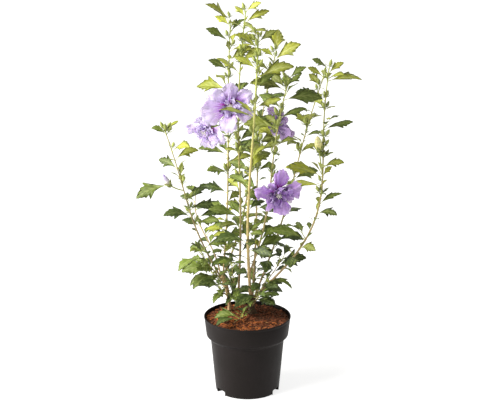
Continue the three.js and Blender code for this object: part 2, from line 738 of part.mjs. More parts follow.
function rootBall() {
  const { height, rimRadius, collarHeight, collarFootRadius, shoulder, bodyRadius, baseRadius, wall } = POT;
  const skin = wall + GAP + 0.5;
  const collarFoot = height - collarHeight;
  const climb = (SOIL.edgeHeight - collarFoot) / collarHeight;
  const edge = between([collarFootRadius, rimRadius], climb);
  let ball = turned([
    [0, POT.floor + GAP], [baseRadius - skin - 3, POT.floor + GAP], [baseRadius - skin - 0.4, POT.floor + 3],
    [bodyRadius - skin - 0.6, collarFoot - shoulder], [collarFootRadius - skin - 0.6, collarFoot + 2],
    [edge - skin - 1.2, SOIL.edgeHeight], [(edge + SOIL.flatRadius) / 2, SOIL.edgeHeight + 2.4],
    [SOIL.flatRadius, GROUND - GAP], [0, GROUND - GAP],
  ], SOIL.facets);
  const { width, height: rise, roof } = NOTCH;
  for (const turn of notchTurns) {
    const [inner, wide] = [notchInner - roof - GAP, width + 2 * (roof + GAP)];
    ball = ball.subtract(notchBlock(turn, inner, baseRadius + 20, wide, -1, rise + roof + GAP));
  }
  return ball;
}

// ---------------------------------------------------------------- the whole plant

const COLOURS = {
  pot: [0x2b2727, 0.55],
  soil: [0x6b3a22, 0.95],
  stem: [0x8a7458, 0.85],
  bough: [0x9c8f5e, 0.75],
  foliage: [0x5f7d2c, 0.6],
};
const plant = new THREE.Group();

function show(name, solid, look) {
  const [color, roughness] = COLOURS[look];
  const material = new THREE.MeshStandardMaterial({ color, roughness, metalness: 0 });
  const mesh = new THREE.Mesh(geometryOf(solid), material);
  mesh.name = name;
  plant.add(mesh);
}

const caneNamed = (name) => CANES.find((cane) => cane.name === name);
const leafyShare = (cane) => (cane.leafy - cane.start[2]) / (cane.tip[2] - cane.start[2]);

// The mass of foliage along a limb, from share `from` to its tip.
function massOf(limb, from) {
  const { leaves, twigs, buds } = grow("foliage_" + limb.name, limb, from);
  const length = lengthOf(limb) * (1 - from);
  const sturdy = { ...limb, radius: limb.radius.map((r) => THREE_SIDED * r) };
  return fuse([
    tube(sturdy, from + GAP / length, 1, 3, max(3, round(length / STEM_STEP))),
    ...twigs.map((twig) => tube(twig, 0, 1, 3, 1)),
    ...leaves.map((leaf) => bladeSolid(leaf, LEAF)),
    ...buds.map(budSolid),
    ...BLOOMS.filter((bloom) => bloom.on === limb.name).flatMap((bloom) => bloomSolids(bloom, limb)),
    ...LARGE_BUDS.filter((bud) => bud.on === limb.name).flatMap((bud) => largeBudSolids(bud, limb)),
  ]);
}

show("pot", pot(), "pot");
show("root_ball", rootBall(), "soil");

const fat = {}; // each stem and bough with the gap round it, to cut its neighbours with
for (const [name, limb] of Object.entries(STEMS)) {
  show(name, stem(limb), "stem");
  fat[name] = stem(limb, GAP);
  claimLimb(limb, 0, 1, name);
}
for (const cane of CANES) {
  const name = "bough_" + cane.name;
  const share = leafyShare(cane);
  const steps = max(3, round((cane.leafy - cane.start[2]) / BOUGH.step));
  const whole = tube(cane, 0, share, BOUGH.sides, steps);
  const seated = Object.values(fat).reduce((bough, other) => bough.subtract(other), whole);
  show(name, largest(seated), "bough");
  fat[name] = tube(cane, 0, share + 0.002, BOUGH.sides, steps, GAP);
  claimLimb(cane, 0, share, name);
  claimLimb(cane, share, 1, "foliage_" + cane.name);
}
for (const shoot of SHOOTS) claimLimb(shoot, 0.12, 1, "foliage_" + shoot.name);
claimFlowers();

for (const shoot of SHOOTS) {
  const cut = massOf(shoot, 0).subtract(fat[shoot.from]);
  show("foliage_" + shoot.name, largest(cut), "foliage");
}
for (const cane of CANES) show("foliage_" + cane.name, largest(massOf(cane, leafyShare(cane))), "foliage");

export default plant;
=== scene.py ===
"""A rose of sharon in a black nursery pot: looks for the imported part.

The plant grows here by the rule of the part's source, in its millimetres, from the same named
limbs, letters and seeds, and is then carried further: lobed and toothed leaves, more small leaves
and buds in the axils, double blooms, bark, and a pot filled with bark mulch. +Z is up and the
front is -Y. Meshes are made in millimetres and turned to metres as they become pieces.
"""

import math
from dataclasses import dataclass
from types import SimpleNamespace

import bpy
import numpy as np
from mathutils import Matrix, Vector, noise


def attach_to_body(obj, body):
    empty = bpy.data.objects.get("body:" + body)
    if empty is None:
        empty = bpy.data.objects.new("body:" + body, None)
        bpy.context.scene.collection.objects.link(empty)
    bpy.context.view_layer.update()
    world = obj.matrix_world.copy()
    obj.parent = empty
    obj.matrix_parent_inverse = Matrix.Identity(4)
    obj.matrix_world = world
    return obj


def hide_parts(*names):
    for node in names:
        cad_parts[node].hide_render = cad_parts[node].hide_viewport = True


MM = 0.001
DEGREE = math.pi / 180
UP = np.array([0.0, 0.0, 1.0])

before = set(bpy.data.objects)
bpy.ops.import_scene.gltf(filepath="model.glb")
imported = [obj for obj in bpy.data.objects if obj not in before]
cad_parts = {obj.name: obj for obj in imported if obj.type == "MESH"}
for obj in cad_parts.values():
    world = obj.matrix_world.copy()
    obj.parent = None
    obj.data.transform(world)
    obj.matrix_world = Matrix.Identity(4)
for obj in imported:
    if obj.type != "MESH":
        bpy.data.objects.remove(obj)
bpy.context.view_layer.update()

# ---------------------------------------------------------------- driving dimensions

GROUND = 192  # height of the soil where the stems come out of it
POT = SimpleNamespace(
    height=196, rim_radius=110, collar_height=49, collar_foot_radius=104, shoulder=9,
    body_radius=93.5, base_radius=81, wall=2, floor=3, facets=168,
)  # fmt: skip
NOTCH = SimpleNamespace(count=3, turn=-26, width=34, height=12, depth=15, roof=2, drain=9, drain_in=3)
COLLAR_FOOT = POT.height - POT.collar_height
SOIL = SimpleNamespace(flat_radius=66, edge_height=188)
FLARE_HEIGHT = 14  # a stem's foot widens below this height over the ground


@dataclass(frozen=True)
class Limb:
    """A tapering limb. It bows sideways at mid length and sways at the quarters."""

    name: str
    start: tuple
    tip: tuple
    radius: tuple
    bow: tuple = (0, 0)
    sway: tuple = (0, 0)
    flare: float = 0  # of a stem's foot
    leafy: float = 0  # height where a cane's foliage begins
    seed: int = 0
    leaves: str = ""  # node by node, the clock hour that each leaf points to, as in the source
    crown: str = ""  # and round the tip


STEMS = [
    Limb("stem_main", (12, 22, GROUND), (12.5, 22, 240), (8.6, 8.2), (-2, 1), flare=4.5),
    Limb("stem_left", (-46, 45, GROUND), (-65, 40.5, 290), (4, 6), (5, 0), flare=2.5),
    Limb("stem_second", (-33, 51, GROUND), (-22, 36, 262), (3, 2.9), (2, 2), flare=1.5),
]
CANES = [
    Limb(
        "far_left", (-69.5, 38, 287), (-194, -90, 692), (2.3, 1.1), (-11, -14), (-5, 7),
        leafy=345, seed=11, leaves="ic..dIcb...jcd.", crown="bi",
    ),
    Limb(
        "left_inner", (-68, 44.5, 287), (-134, 160, 476), (2.1, 1.0), (-11, 2), (9, -8),
        leafy=335, seed=12, leaves=".kcicCj", crown="bk",
    ),
    Limb(
        "left_tall", (-62, 36.5, 287), (-42, 130, 926), (2.4, 1.2), (3, 30), (3, 2),
        leafy=345, seed=13, leaves="hbk.jai.hcIDjl.kbJ.icCib", crown="Ij",
    ),
    Limb(
        "tallest", (-22, 36, 260), (-3, 0, 966), (2.9, 1.2), (-8, -22), (6, -1),
        leafy=325, seed=14, leaves="HbgaiIdCkf.lcciCk.a.ic.aEc", crown="cj",
    ),
    Limb(
        "front", (8, 17, 237), (25, -190, 930), (4, 1.6), (-10, -18), (-4, 14),
        leafy=345, seed=15, leaves="gCID..b..k.aL....HD.bCj.i", crown="Ic",
    ),
    Limb(
        "front_right", (7, 4.5, 309), (96, -140, 827), (2.4, 1.2), (5, -17), (7, 0),
        leafy=350, seed=16, leaves="eCb.i..i.b..HcjIckCH", crown="cib",
    ),
    Limb(
        "back_right", (12.5, 28, 237), (73, 185, 838), (2.5, 1.2), (-17, 24), (6, -4),
        leafy=330, seed=17, leaves="dFbb.dck.c.cC.k.ad.li.", crown="LiC",
    ),
    Limb(
        "back", (-61, 44.5, 287), (38, 215, 661), (2.3, 1.1), (12, 39), (5, 3),
        leafy=335, seed=18, leaves="gIlbjaL.jbkljb", crown="lj",
    ),
    Limb(
        "right_back", (18, 23.5, 237), (196, 200, 774), (2.5, 1.2), (10, 38), (5, -1),
        leafy=315, seed=19, leaves="EdBl.b.alBi.bIcL.g.ij", crown="ib",
    ),
    Limb(
        "far_right", (15.5, 16.5, 237), (193, -60, 837), (2.8, 1.2), (76, -29), (20, -4),
        leafy=330, seed=20, leaves="fGeI..dc.JIc...C.ki.C", crown="ib",
    ),
]  # fmt: skip
SHOOTS = [
    Limb("sucker", (11, 21, 200), (-33, -80, 206), (1.3, 0.8), seed=40, leaves="....aih"),
    Limb("low_left", (-62, 41, 270), (-120, -8, 366), (1.6, 0.8), seed=31, leaves=".HjIgH", crown="hij"),
    Limb(
        "low_left_front", (-52, 43.5, 233), (-68, -40, 286), (1.6, 0.8), (-4, 0),
        seed=32, leaves="gGfGh", crown="gfh",
    ),
    Limb(
        "low_left_back", (-58, 42.5, 255), (-110, 92, 300), (1.5, 0.8), (0, 6),
        seed=33, leaves=".JkIl", crown="jik",
    ),
    Limb(
        "low_middle", (-27.5, 45.5, 232), (-38, -60, 350), (1.5, 0.8), (-2, 0),
        seed=34, leaves="GFGfHegf", crown="gfh",
    ),
    Limb(
        "low_back", (13, 22, 222), (22, 128, 282), (1.6, 0.8), (0, 4),
        seed=35, leaves=".KaLbK", crown="lka",
    ),
    Limb(
        "low_back_left", (-31, 49, 222), (-56, 134, 285), (1.5, 0.8), (2, 0),
        seed=36, leaves=".LkLa", crown="klj",
    ),
    Limb("low_right_back", (13, 22, 221), (92, 48, 335), (1.6, 0.8), seed=37, leaves=".BcAbC", crown="bca"),
    Limb(
        "low_right", (12, 22, 216), (46, -6, 290), (1.6, 0.8), (0, -2),
        seed=38, leaves=".EfAeg", crown="aef",
    ),
    Limb("low_right_front", (11, 21, 210), (30, -52, 268), (1.5, 0.8), seed=39, leaves="GeFcG", crown="egf"),
]  # fmt: skip


@dataclass(frozen=True)
class Flower:
    """A bloom or a large bud: its cane, how far up it, its middle and the way it faces."""

    on: str
    at: float
    centre: tuple
    faces: tuple
    outer: tuple = ()  # a bloom's outer petals: (turn about the bloom, length, width)
    length: float = 0  # of a large bud
    radius: float = 0
    leaf: tuple = ()  # under a large bud: heading, length, rise, droop, roll
    seed: int = 0
    tint: str = ""


BLOOMS = [
    Flower(
        "tallest", 0.62, (-38, -72, 746), (-0.12, -0.95, 0.2), seed=51, tint="pale",
        outer=(
            (36, 64, 0.8), (92, 58, 0.9), (150, 66, 0.95),
            (201, 84, 0.95), (268, 70, 0.9), (335, 62, 0.85),
        ),
    ),
    Flower(
        "left_tall", 0.54, (-94, 24, 674), (-0.52, -0.72, -0.42), seed=52, tint="pale",
        outer=(
            (348, 62, 1.25), (302, 46, 0.7), (252, 60, 1),
            (208, 54, 0.6), (168, 66, 0.45), (88, 62, 0.95),
        ),
    ),
    Flower(
        "back", 0.9, (73, 192, 645), (0.55, 0.75, 0.25), seed=53, tint="deep",
        outer=((79, 58, 0.6), (116, 44, 0.5), (205, 50, 0.8), (240, 60, 1), (318, 50, 0.95)),
    ),
    Flower(
        "front_right", 0.42, (70, -142, 555), (0.22, -0.93, -0.18), seed=54, tint="deep",
        outer=((14, 62, 0.95), (86, 74, 0.65), (166, 63, 0.85), (236, 52, 0.75), (286, 60, 0.95)),
    ),
]  # fmt: skip
LARGE_BUDS = [
    Flower(
        "far_right", 0.56, (170, -66, 655), (-0.15, -0.2, 1), length=41, radius=10.5,
        seed=55, tint="cream",
    ),
    Flower(
        "far_left", 0.62, (-194, -77, 568), (-0.5, -0.15, 0.85), length=36, radius=7.5,
        leaf=(190, 76, -2, 44, 30), seed=56, tint="lilac",
    ),
]  # fmt: skip

# The rule's constants, as in the source: millimetres, degrees, and shares of a length or a size.
LEAF = SimpleNamespace(
    length=(56, 56), heights=(250, 850), vary=(0.82, 1.12), large=1.35, crown=0.72, axil=0.62,
    stalk=0.17, least_stalk=5, outline=((0.58, 0.265), (1, 0)),
    small=SimpleNamespace(rise=(30, 54), droop=(60, 105)),
    big=SimpleNamespace(rise=(12, 38), droop=(40, 95)),
    lift=(1, 0.45), crown_rise=48, stray=13, roll=25,
)  # fmt: skip
BLADE_FOOT = 0.02  # half a blade's width at its foot, for a length of 1
DROOP_POWER = 1.4  # a blade droops the more, the nearer its tip
OVER_POT = SimpleNamespace(reach=4, gap=3)  # past the rim, and over the soil's top
LIGHT = SimpleNamespace(side=-108, turn=42)
AXIL = SimpleNamespace(turn=50, rise=18, above=0.007)
NODE = SimpleNamespace(first=0.15, spare=0.5, crown_first=0.4, crown_spacing=0.02, last=0.998)
TWIG = SimpleNamespace(
    chance=0.35, above=4, length=(16, 30), radius=(1.4, 1.3), turn=29, rise=57, room=3,
    end=1.5, second=0.45, sizes=(0.95, 0.85), spread=(40, 69), leaf_rise=(40, 60), leaf_droop=(40, 80),
    roll=12,
)  # fmt: skip
BUD = SimpleNamespace(
    above=540, within=300, chance=0.5, size=(0.7, 1.2), length=15, radius=4.4, stalk=12, rise=(55, 75),
    stray=(-30, 30), up=0.012, room=2,
)  # fmt: skip
PETAL = SimpleNamespace(outline=((0.62, 0.39), (0.91, 0.33), (1, 0)), rise=(36, 58), droop=(45, 95), roll=40)
PETALOID = SimpleNamespace(outline=((0.6, 0.25), (1, 0)), rise=(62, 76), droop=(20, 60), roll=50)
INNER = SimpleNamespace(count=6, length=(26, 38))
BLOOM = SimpleNamespace(behind=7, stalk=10, hidden=6)
FLOWER_STALK = SimpleNamespace(behind=15, radius=(1.3, 1.5))
TRIES = ((0, 1), (25, 0.95), (-25, 0.95), (50, 0.88), (-50, 0.88), (80, 0.8), (-80, 0.8), (0, 0.66))
LEAF_ROOM = 4.4
PETAL_ROOM = LEAF_ROOM + 1
LIMB_ROOM = 1.2
LIMB_STEP = 5
SHOOT_FOOT = 0.12  # the share of a shoot's length that claims no room
RIB_STEPS = 10
CUBE = 14
SAMPLE_SHARES = [i / 9 for i in range(10)]
SAMPLE_SIDES = (-1, -0.5, 0, 0.5, 1)
SAMPLE_GAP = 3

# ---------------------------------------------------------------- the rule


def between(span, share):
    """The value at a share of the way from the first of a pair to the second."""
    return span[0] + (span[1] - span[0]) * share


def seeded(seed):
    """The same stream of numbers from 0 to 1 for the same seed."""
    word = 0xFFFFFFFF
    state = seed

    def draw():
        nonlocal state
        state = (state + 0x6D2B79F5) & word
        mixed = ((state ^ (state >> 15)) * (state | 1)) & word
        mixed ^= (mixed + (mixed ^ (mixed >> 7)) * (mixed | 61)) & word
        return (mixed ^ (mixed >> 14)) / (word + 1)

    return draw


def unit(vector):
    vector = np.asarray(vector, float)
    return vector / np.linalg.norm(vector)


def at_turn(across, over, turn):
    """The direction at a turn about an axis, from two directions square to it."""
    return across * math.cos(turn) + over * math.sin(turn)


def point_on(limb, t):
    """The point, or points, at share t of a limb's length."""
    start, tip = np.array(limb.start, float), np.array(limb.tip, float)
    t = np.asarray(t, float)[..., None]
    bow = np.array([*limb.bow, 0]) * np.sin(np.pi * t)
    sway = np.array([*limb.sway, 0]) * np.sin(2 * np.pi * t)
    return start + (tip - start) * t + bow + sway


def length_of(limb):
    return math.dist(limb.start, limb.tip)


def leafy_share(cane):
    return (cane.leafy - cane.start[2]) / (cane.tip[2] - cane.start[2])


def midrib(blade, steps=RIB_STEPS):
    """A blade's midrib: it leaves its root along `out`, risen towards `up`, and droops as it goes."""
    step = (blade.stalk + blade.length) / steps
    shares = (np.arange(steps) + 0.5) / steps
    rises = (blade.rise - blade.droop * shares**DROOP_POWER) * DEGREE
    hops = step * (np.cos(rises)[:, None] * blade.out + np.sin(rises)[:, None] * blade.up)
    points = np.vstack([blade.root, blade.root + np.cumsum(hops, axis=0)])
    return points, rises, step


def frames_on(blade, rib, along):
    """The midrib's points and the blade's own right-hand and upward directions, at distances along it."""
    points, rises, step = rib
    i = np.minimum(len(rises) - 1, np.floor(along / step).astype(int))
    centre = points[i] + (points[i + 1] - points[i]) * (along / step - i)[:, None]
    flat = np.cross(blade.out, blade.up)
    above = np.cos(rises[i])[:, None] * blade.up - np.sin(rises[i])[:, None] * blade.out
    roll = blade.roll * DEGREE
    right = math.cos(roll) * flat + math.sin(roll) * above
    top = math.cos(roll) * above - math.sin(roll) * flat
    return centre, right, top


def half_width(outline, u):
    """Half width of an outline at share u of the blade."""
    start, width = 0, BLADE_FOOT
    for along, half in outline:
        if u <= along:
            return width + (half - width) * (u - start) / (along - start)
        start, width = along, half
    return 0


def blade_samples(blade, outline):
    """Points spread over a blade, which stand for it when room is looked for."""
    rows = []
    for u in SAMPLE_SHARES:
        half = half_width(outline, u) * blade.length * blade.wide
        rows += [(u, half * v) for v in SAMPLE_SIDES if v == 0 or half * abs(v) >= SAMPLE_GAP]
    u, across = np.array(rows).T
    centre, right, _ = frames_on(blade, midrib(blade), blade.stalk + blade.length * u)
    return centre + right * across[:, None]


class Room:
    """What has grown so far, as balls with an owner. A ball is looked for in the next cubes only."""

    def __init__(self):
        self.points = np.zeros((0, 3))
        self.radii = np.zeros(0)
        self.owners = np.zeros(0, int)
        self.numbers = {}

    def number(self, owner):
        return self.numbers.setdefault(owner, len(self.numbers))

    def add(self, points, radii, owner):
        points = np.atleast_2d(points)
        self.points = np.vstack([self.points, points])
        self.radii = np.append(self.radii, np.broadcast_to(radii, len(points)))
        self.owners = np.append(self.owners, np.full(len(points), self.number(owner)))

    def clear(self, points, radius, owner=None):
        """True if no ball of another owner comes within reach of the points."""
        points = np.atleast_2d(points)
        low, high = points.min(0) - 2 * CUBE, points.max(0) + 2 * CUBE
        near = ((self.points > low) & (self.points < high)).all(1)
        if owner is not None:
            near &= self.owners != self.number(owner)
        balls = self.points[near]
        steps = np.abs(np.floor(points / CUBE)[:, None] - np.floor(balls / CUBE)[None]).max(2)
        apart = np.linalg.norm(points[:, None] - balls[None], axis=2)
        return not ((steps <= 1) & (apart < self.radii[near] + radius)).any()


room = Room()


def claim_limb(limb, t0, t1, owner):
    count = math.ceil(length_of(limb) / LIMB_STEP)
    t = t0 + (t1 - t0) * np.arange(count + 1) / count
    room.add(point_on(limb, t), between(limb.radius, t) + LIMB_ROOM, owner)


def heading_of(letter):
    """The heading of a letter's clock hour, seen from above: a is one, and l is twelve, at the back."""
    hour = "abcdefghijkl".index(letter.lower()) + 1
    return 90 - 30 * hour


def towards(heading):
    return np.array([math.cos(heading * DEGREE), math.sin(heading * DEGREE), 0.0])


def leaning(out, rise):
    return out * math.cos(rise * DEGREE) + UP * math.sin(rise * DEGREE)


def try_leaf(mass, wish, own, keep=LEAF_ROOM, tries=TRIES):
    """A leaf if there is room for it in the mass and in the whole crown, and over the pot."""
    for turn, scale in tries:
        length = wish["length"] * scale
        stalk = max(LEAF.least_stalk, length * LEAF.stalk)
        facing = {"up": UP, "out": towards(wish["heading"] + turn), "stalk": stalk, "wide": 1}
        leaf = SimpleNamespace(**{"young": False, **wish, **facing, "length": length})
        samples = blade_samples(leaf, LEAF.outline)
        over_pot = np.hypot(samples[:, 0], samples[:, 1]) < POT.rim_radius + OVER_POT.reach
        if (over_pot & (samples[:, 2] < GROUND + OVER_POT.gap)).any():
            continue
        if room.clear(samples, keep, mass) and own.clear(samples, keep):
            room.add(samples, keep, mass)
            own.add(samples, keep / 2, "leaf")
            return leaf
    return None


def try_bud(mass, bud, own):
    """The bud if there is room for it."""
    middle = bud.root + bud.axis * (bud.stalk + bud.length / 2)
    if not room.clear(middle, bud.radius + BUD.room, mass) or not own.clear(middle, bud.radius):
        return None
    room.add(middle, bud.radius + BUD.room, mass)
    own.add(middle, bud.radius, "bud")
    return bud


def at_height(pair, z):
    """A value at a height, from its pair for the two heights that leaves are sized by."""
    foot, top = LEAF.heights
    return between(pair, max(0, min(1, (z - foot) / (top - foot))))


def node_share(limb, i):
    """How far up a leafy stem its node i sits. The nodes after the last letter crowd at its tip."""
    nodes = len(limb.leaves)
    if i >= nodes:
        return 1 - NODE.crown_spacing * (i - nodes + NODE.crown_first)
    return (i + NODE.first) / (nodes + NODE.spare)


def bud_at(limb, t, heading, turn, scale):
    return SimpleNamespace(
        root=point_on(limb, min(NODE.last, t)),
        axis=leaning(towards(heading + between(BUD.stray, turn)), between(BUD.rise, turn)),
        stalk=BUD.stalk * scale,
        length=BUD.length * scale,
        radius=BUD.radius * scale,
    )


def grow(mass, limb, start):
    """The leaves, twigs and buds of one leafy stem, from its letters and its seed."""
    draw = seeded(limb.seed)
    own = Room()
    grown = SimpleNamespace(mass=mass, limb=limb, start=start, own=own, leaves=[], twigs=[], buds=[])

    def keep_leaf(wish):
        leaf = try_leaf(mass, wish, own)
        if leaf:
            grown.leaves.append(leaf)
        return leaf

    for bud in LARGE_BUDS:
        if bud.on == limb.name and bud.leaf:
            heading, length, rise, droop, roll = bud.leaf
            keep_leaf({
                "root": np.array(stalk_to(bud).tip), "heading": heading, "length": length,
                "rise": rise, "droop": droop, "roll": roll, "node": 0,
            })  # fmt: skip
    for i, letter in enumerate(limb.leaves + limb.crown):
        stray, size, rise, droop, roll, bud_chance, bud_turn, side = [draw() for _ in range(8)]
        if letter == ".":
            continue
        crown = i >= len(limb.leaves)
        large = letter.isupper()
        t = between((start, 1), node_share(limb, i))
        root = point_on(limb, t)
        heading = heading_of(letter) + between((-LEAF.stray, LEAF.stray), stray)
        length = at_height(LEAF.length, root[2]) * between(LEAF.vary, size)
        length *= LEAF.large if large else LEAF.crown if crown else 1
        posture = LEAF.big if large else LEAF.small
        lean = LIGHT.turn * math.sin((heading - LIGHT.side) * DEGREE)
        wish = {
            "root": root,
            "heading": heading,
            "length": length,
            "rise": LEAF.crown_rise if crown else between(posture.rise, rise),
            "droop": between(posture.droop, droop) * at_height(LEAF.lift, root[2]),
            "roll": between((-LEAF.roll, LEAF.roll), roll) - lean,
            "node": i,
        }
        leaf = keep_leaf(wish)
        if limb.tip[2] > BUD.above and root[2] > limb.tip[2] - BUD.within and bud_chance < BUD.chance:
            bud = try_bud(mass, bud_at(limb, t + BUD.up, heading, bud_turn, between(BUD.size, side)), own)
            if bud:
                grown.buds.append(bud)
        if not large or crown or not leaf:
            continue
        turn = -1 if side < 0.5 else 1
        if bud_turn >= TWIG.chance:
            keep_leaf({
                **wish, "root": point_on(limb, t + AXIL.above), "heading": heading + turn * AXIL.turn,
                "rise": wish["rise"] + AXIL.rise, "length": length * LEAF.axil,
            })  # fmt: skip
            continue
        foot = root + UP * TWIG.above
        twig_heading = heading + turn * TWIG.turn
        axis = leaning(towards(twig_heading), TWIG.rise)
        reach = between(TWIG.length, bud_turn)
        end = foot + axis * reach
        if not room.clear(end, TWIG.room, mass):
            continue
        pair = [
            keep_leaf({
                "root": end - axis * back,
                "heading": twig_heading + way * between(TWIG.spread, bud_chance),
                "length": length * LEAF.axil * part,
                "rise": between(TWIG.leaf_rise, droop),
                "droop": between(TWIG.leaf_droop, roll),
                "roll": way * TWIG.roll,
                "node": i,
            })
            for way, back, part in ((1, TWIG.end, TWIG.sizes[0]), (-1, TWIG.second * reach, TWIG.sizes[1]))
        ]  # fmt: skip
        if any(pair):
            twig = Limb("twig", tuple(foot), tuple(end), TWIG.radius)
            grown.twigs.append(twig)
            claim_limb(twig, 0, 1, mass)
    return grown


def petals_of(bloom):
    """A bloom's petals, as blades about the way it faces: its own broad ones, and narrow ones inside."""
    draw = seeded(bloom.seed)
    faces = unit(bloom.faces)
    across = unit(np.cross(UP, faces))
    over = np.cross(faces, across)
    centre = np.array(bloom.centre, float)

    def petal(kind, turn, length, wide):
        rise, droop, roll = draw(), draw(), draw()
        return SimpleNamespace(
            root=centre - BLOOM.behind * faces, out=at_turn(across, over, turn * DEGREE), up=faces,
            stalk=BLOOM.stalk, length=length - BLOOM.hidden, wide=wide,
            rise=between(kind.rise, rise), droop=between(kind.droop, droop), roll=kind.roll * (roll - 0.5),
        )  # fmt: skip

    outer = [petal(PETAL, *row) for row in bloom.outer]
    inner = []
    for k in range(INNER.count):
        turn = 360 * (k + 0.5 * draw()) / INNER.count
        inner.append(petal(PETALOID, turn, between(INNER.length, draw()), 1))
    return SimpleNamespace(outer=outer, inner=inner, faces=faces, across=across, over=over, centre=centre)


def cane_named(name):
    return next(cane for cane in CANES if cane.name == name)


def stalk_to(flower):
    """The stalk of a bloom or a large bud, from its cane to just behind its middle."""
    root = point_on(cane_named(flower.on), flower.at)
    tip = np.array(flower.centre) - FLOWER_STALK.behind * unit(flower.faces)
    return Limb("stalk", tuple(root), tuple(tip), FLOWER_STALK.radius)


def claim_flowers():
    """Blooms and large buds take their room before any leaf does."""
    for bloom in BLOOMS:
        petals = petals_of(bloom)
        for petal in petals.outer:
            room.add(blade_samples(petal, PETAL.outline), PETAL_ROOM, "foliage_" + bloom.on)
        for petal in petals.inner:
            room.add(blade_samples(petal, PETALOID.outline), LEAF_ROOM, "foliage_" + bloom.on)
    for bud in LARGE_BUDS:
        room.add(np.array(bud.centre, float), bud.length / 2, "foliage_" + bud.on)
    for flower in BLOOMS + LARGE_BUDS:
        claim_limb(stalk_to(flower), 0, 1, "foliage_" + flower.on)


def grow_plant():
    """Every mass of the source, in its order."""
    for stem in STEMS:
        claim_limb(stem, 0, 1, stem.name)
    for cane in CANES:
        claim_limb(cane, 0, leafy_share(cane), "bough_" + cane.name)
        claim_limb(cane, leafy_share(cane), 1, "foliage_" + cane.name)
    for shoot in SHOOTS:
        claim_limb(shoot, SHOOT_FOOT, 1, "foliage_" + shoot.name)
    claim_flowers()
    masses = [grow("foliage_" + shoot.name, shoot, 0) for shoot in SHOOTS]
    return masses + [grow("foliage_" + cane.name, cane, leafy_share(cane)) for cane in CANES]


# ---------------------------------------------------------------- finer growth

TUFT = SimpleNamespace(
    chance=(0.85, 0.27), lift=200, most=3, turn=137, length=(14, 33), rise=(38, 78), droop=(20, 70), roll=40,
    room=2.6, seed=700, tries=((0, 1), (40, 0.85), (-40, 0.85), (0, 0.6)),
)  # fmt: skip
SMALL_BUD = SimpleNamespace(above=470, chance=0.36, size=(0.75, 1.25), headings=(60, 175, 290))


def grow_tufts(grown):
    """Young leaves in the axils and round the tip, and clusters of small buds near the top."""
    limb = grown.limb
    draw = seeded(TUFT.seed + limb.seed)
    for i in range(len(limb.leaves + limb.crown)):
        t = between((grown.start, 1), node_share(limb, i))
        root = point_on(limb, t)
        first = 360 * draw()
        for k in range(TUFT.most):
            chance, size, rise, droop, roll = [draw() for _ in range(5)]
            if chance > at_height(TUFT.chance, root[2] + TUFT.lift):
                continue
            wish = {
                "root": root,
                "heading": first + TUFT.turn * k,
                "length": between(TUFT.length, size),
                "rise": between(TUFT.rise, rise),
                "droop": between(TUFT.droop, droop),
                "roll": TUFT.roll * (roll - 0.5),
                "node": i,
                "young": True,
            }
            leaf = try_leaf(grown.mass, wish, grown.own, TUFT.room, TUFT.tries)
            if leaf:
                grown.leaves.append(leaf)
        chance = draw()
        for heading in SMALL_BUD.headings:
            turn, size = draw(), draw()
            if root[2] < SMALL_BUD.above or chance > SMALL_BUD.chance:
                continue
            bud = bud_at(limb, t, first + heading, turn, between(SMALL_BUD.size, size))
            if try_bud(grown.mass, bud, grown.own):
                grown.buds.append(bud)


# ---------------------------------------------------------------- meshes

PLAIN = (0.5, 0.5, 0.5)  # the marks of a surface with one tone and no pattern of its own
WAVE = 6.3  # a whole turn of a wave whose phase is drawn by chance


def in_scene(name, data):
    """A new object in the scene."""
    made = bpy.data.objects.new(name, data)
    bpy.context.scene.collection.objects.link(made)
    return made


def metre_mesh(name, points, faces):
    """A mesh in metres, from points in millimetres."""
    mesh = bpy.data.meshes.new(name)
    mesh.from_pydata((np.asarray(points) * MM).tolist(), [], faces)
    return mesh


class Skin:
    """Points in millimetres, faces, each face's material, and a vector for patterns at each point."""

    def __init__(self):
        self.points = []
        self.marks = []
        self.faces = []
        self.kinds = []
        self.count = 0

    def add(self, points, faces, kinds=0, marks=(0, 0, 0)):
        self.points.append(points)
        self.marks.append(np.broadcast_to(marks, (len(points), 3)))
        self.faces += [tuple(self.count + corner for corner in face) for face in faces]
        self.kinds += [kinds] * len(faces) if isinstance(kinds, int) else list(kinds)
        self.count += len(points)

    def piece(self, name, materials):
        mesh = metre_mesh(name, np.vstack(self.points), self.faces)
        for material in materials:
            mesh.materials.append(material)
        mesh.polygons.foreach_set("material_index", self.kinds)
        marks = mesh.attributes.new("marks", "FLOAT_VECTOR", "POINT")
        marks.data.foreach_set("vector", np.vstack(self.marks).astype(np.float32).ravel())
        mesh.shade_smooth()
        mesh.validate()
        return in_scene(name, mesh)


def ring_angles(count):
    return 2 * np.pi * np.arange(count) / count


def ring_faces(rings, sides):
    """Quads between rings of the same number of points, which turn right-handed about their line."""
    faces = []
    for i in range(rings - 1):
        for k in range(sides):
            a, b = i * sides + k, i * sides + (k + 1) % sides
            faces.append((a, b, b + sides, a + sides))
    return faces


def capped_rings(rings, sides):
    """The faces of rings that are closed round two more points, at their foot and at their top."""
    foot = rings * sides
    top, last = foot + 1, foot - sides
    faces = ring_faces(rings, sides)
    faces += [(foot, (k + 1) % sides, k) for k in range(sides)]
    return faces + [(top, last + k, last + (k + 1) % sides) for k in range(sides)]


def off_axis(axis):
    """The X or the Y direction, whichever lies well off an axis."""
    return np.array([1.0, 0, 0]) if abs(axis[0]) < 0.8 else np.array([0, 1.0, 0])


def squared(direction, axis):
    """The direction square to an axis that is nearest to another direction."""
    return unit(direction - axis * (direction @ axis))


def square_to(axis):
    """Two directions square to an axis and to each other."""
    across = squared(off_axis(axis), axis)
    return across, np.cross(axis, across)


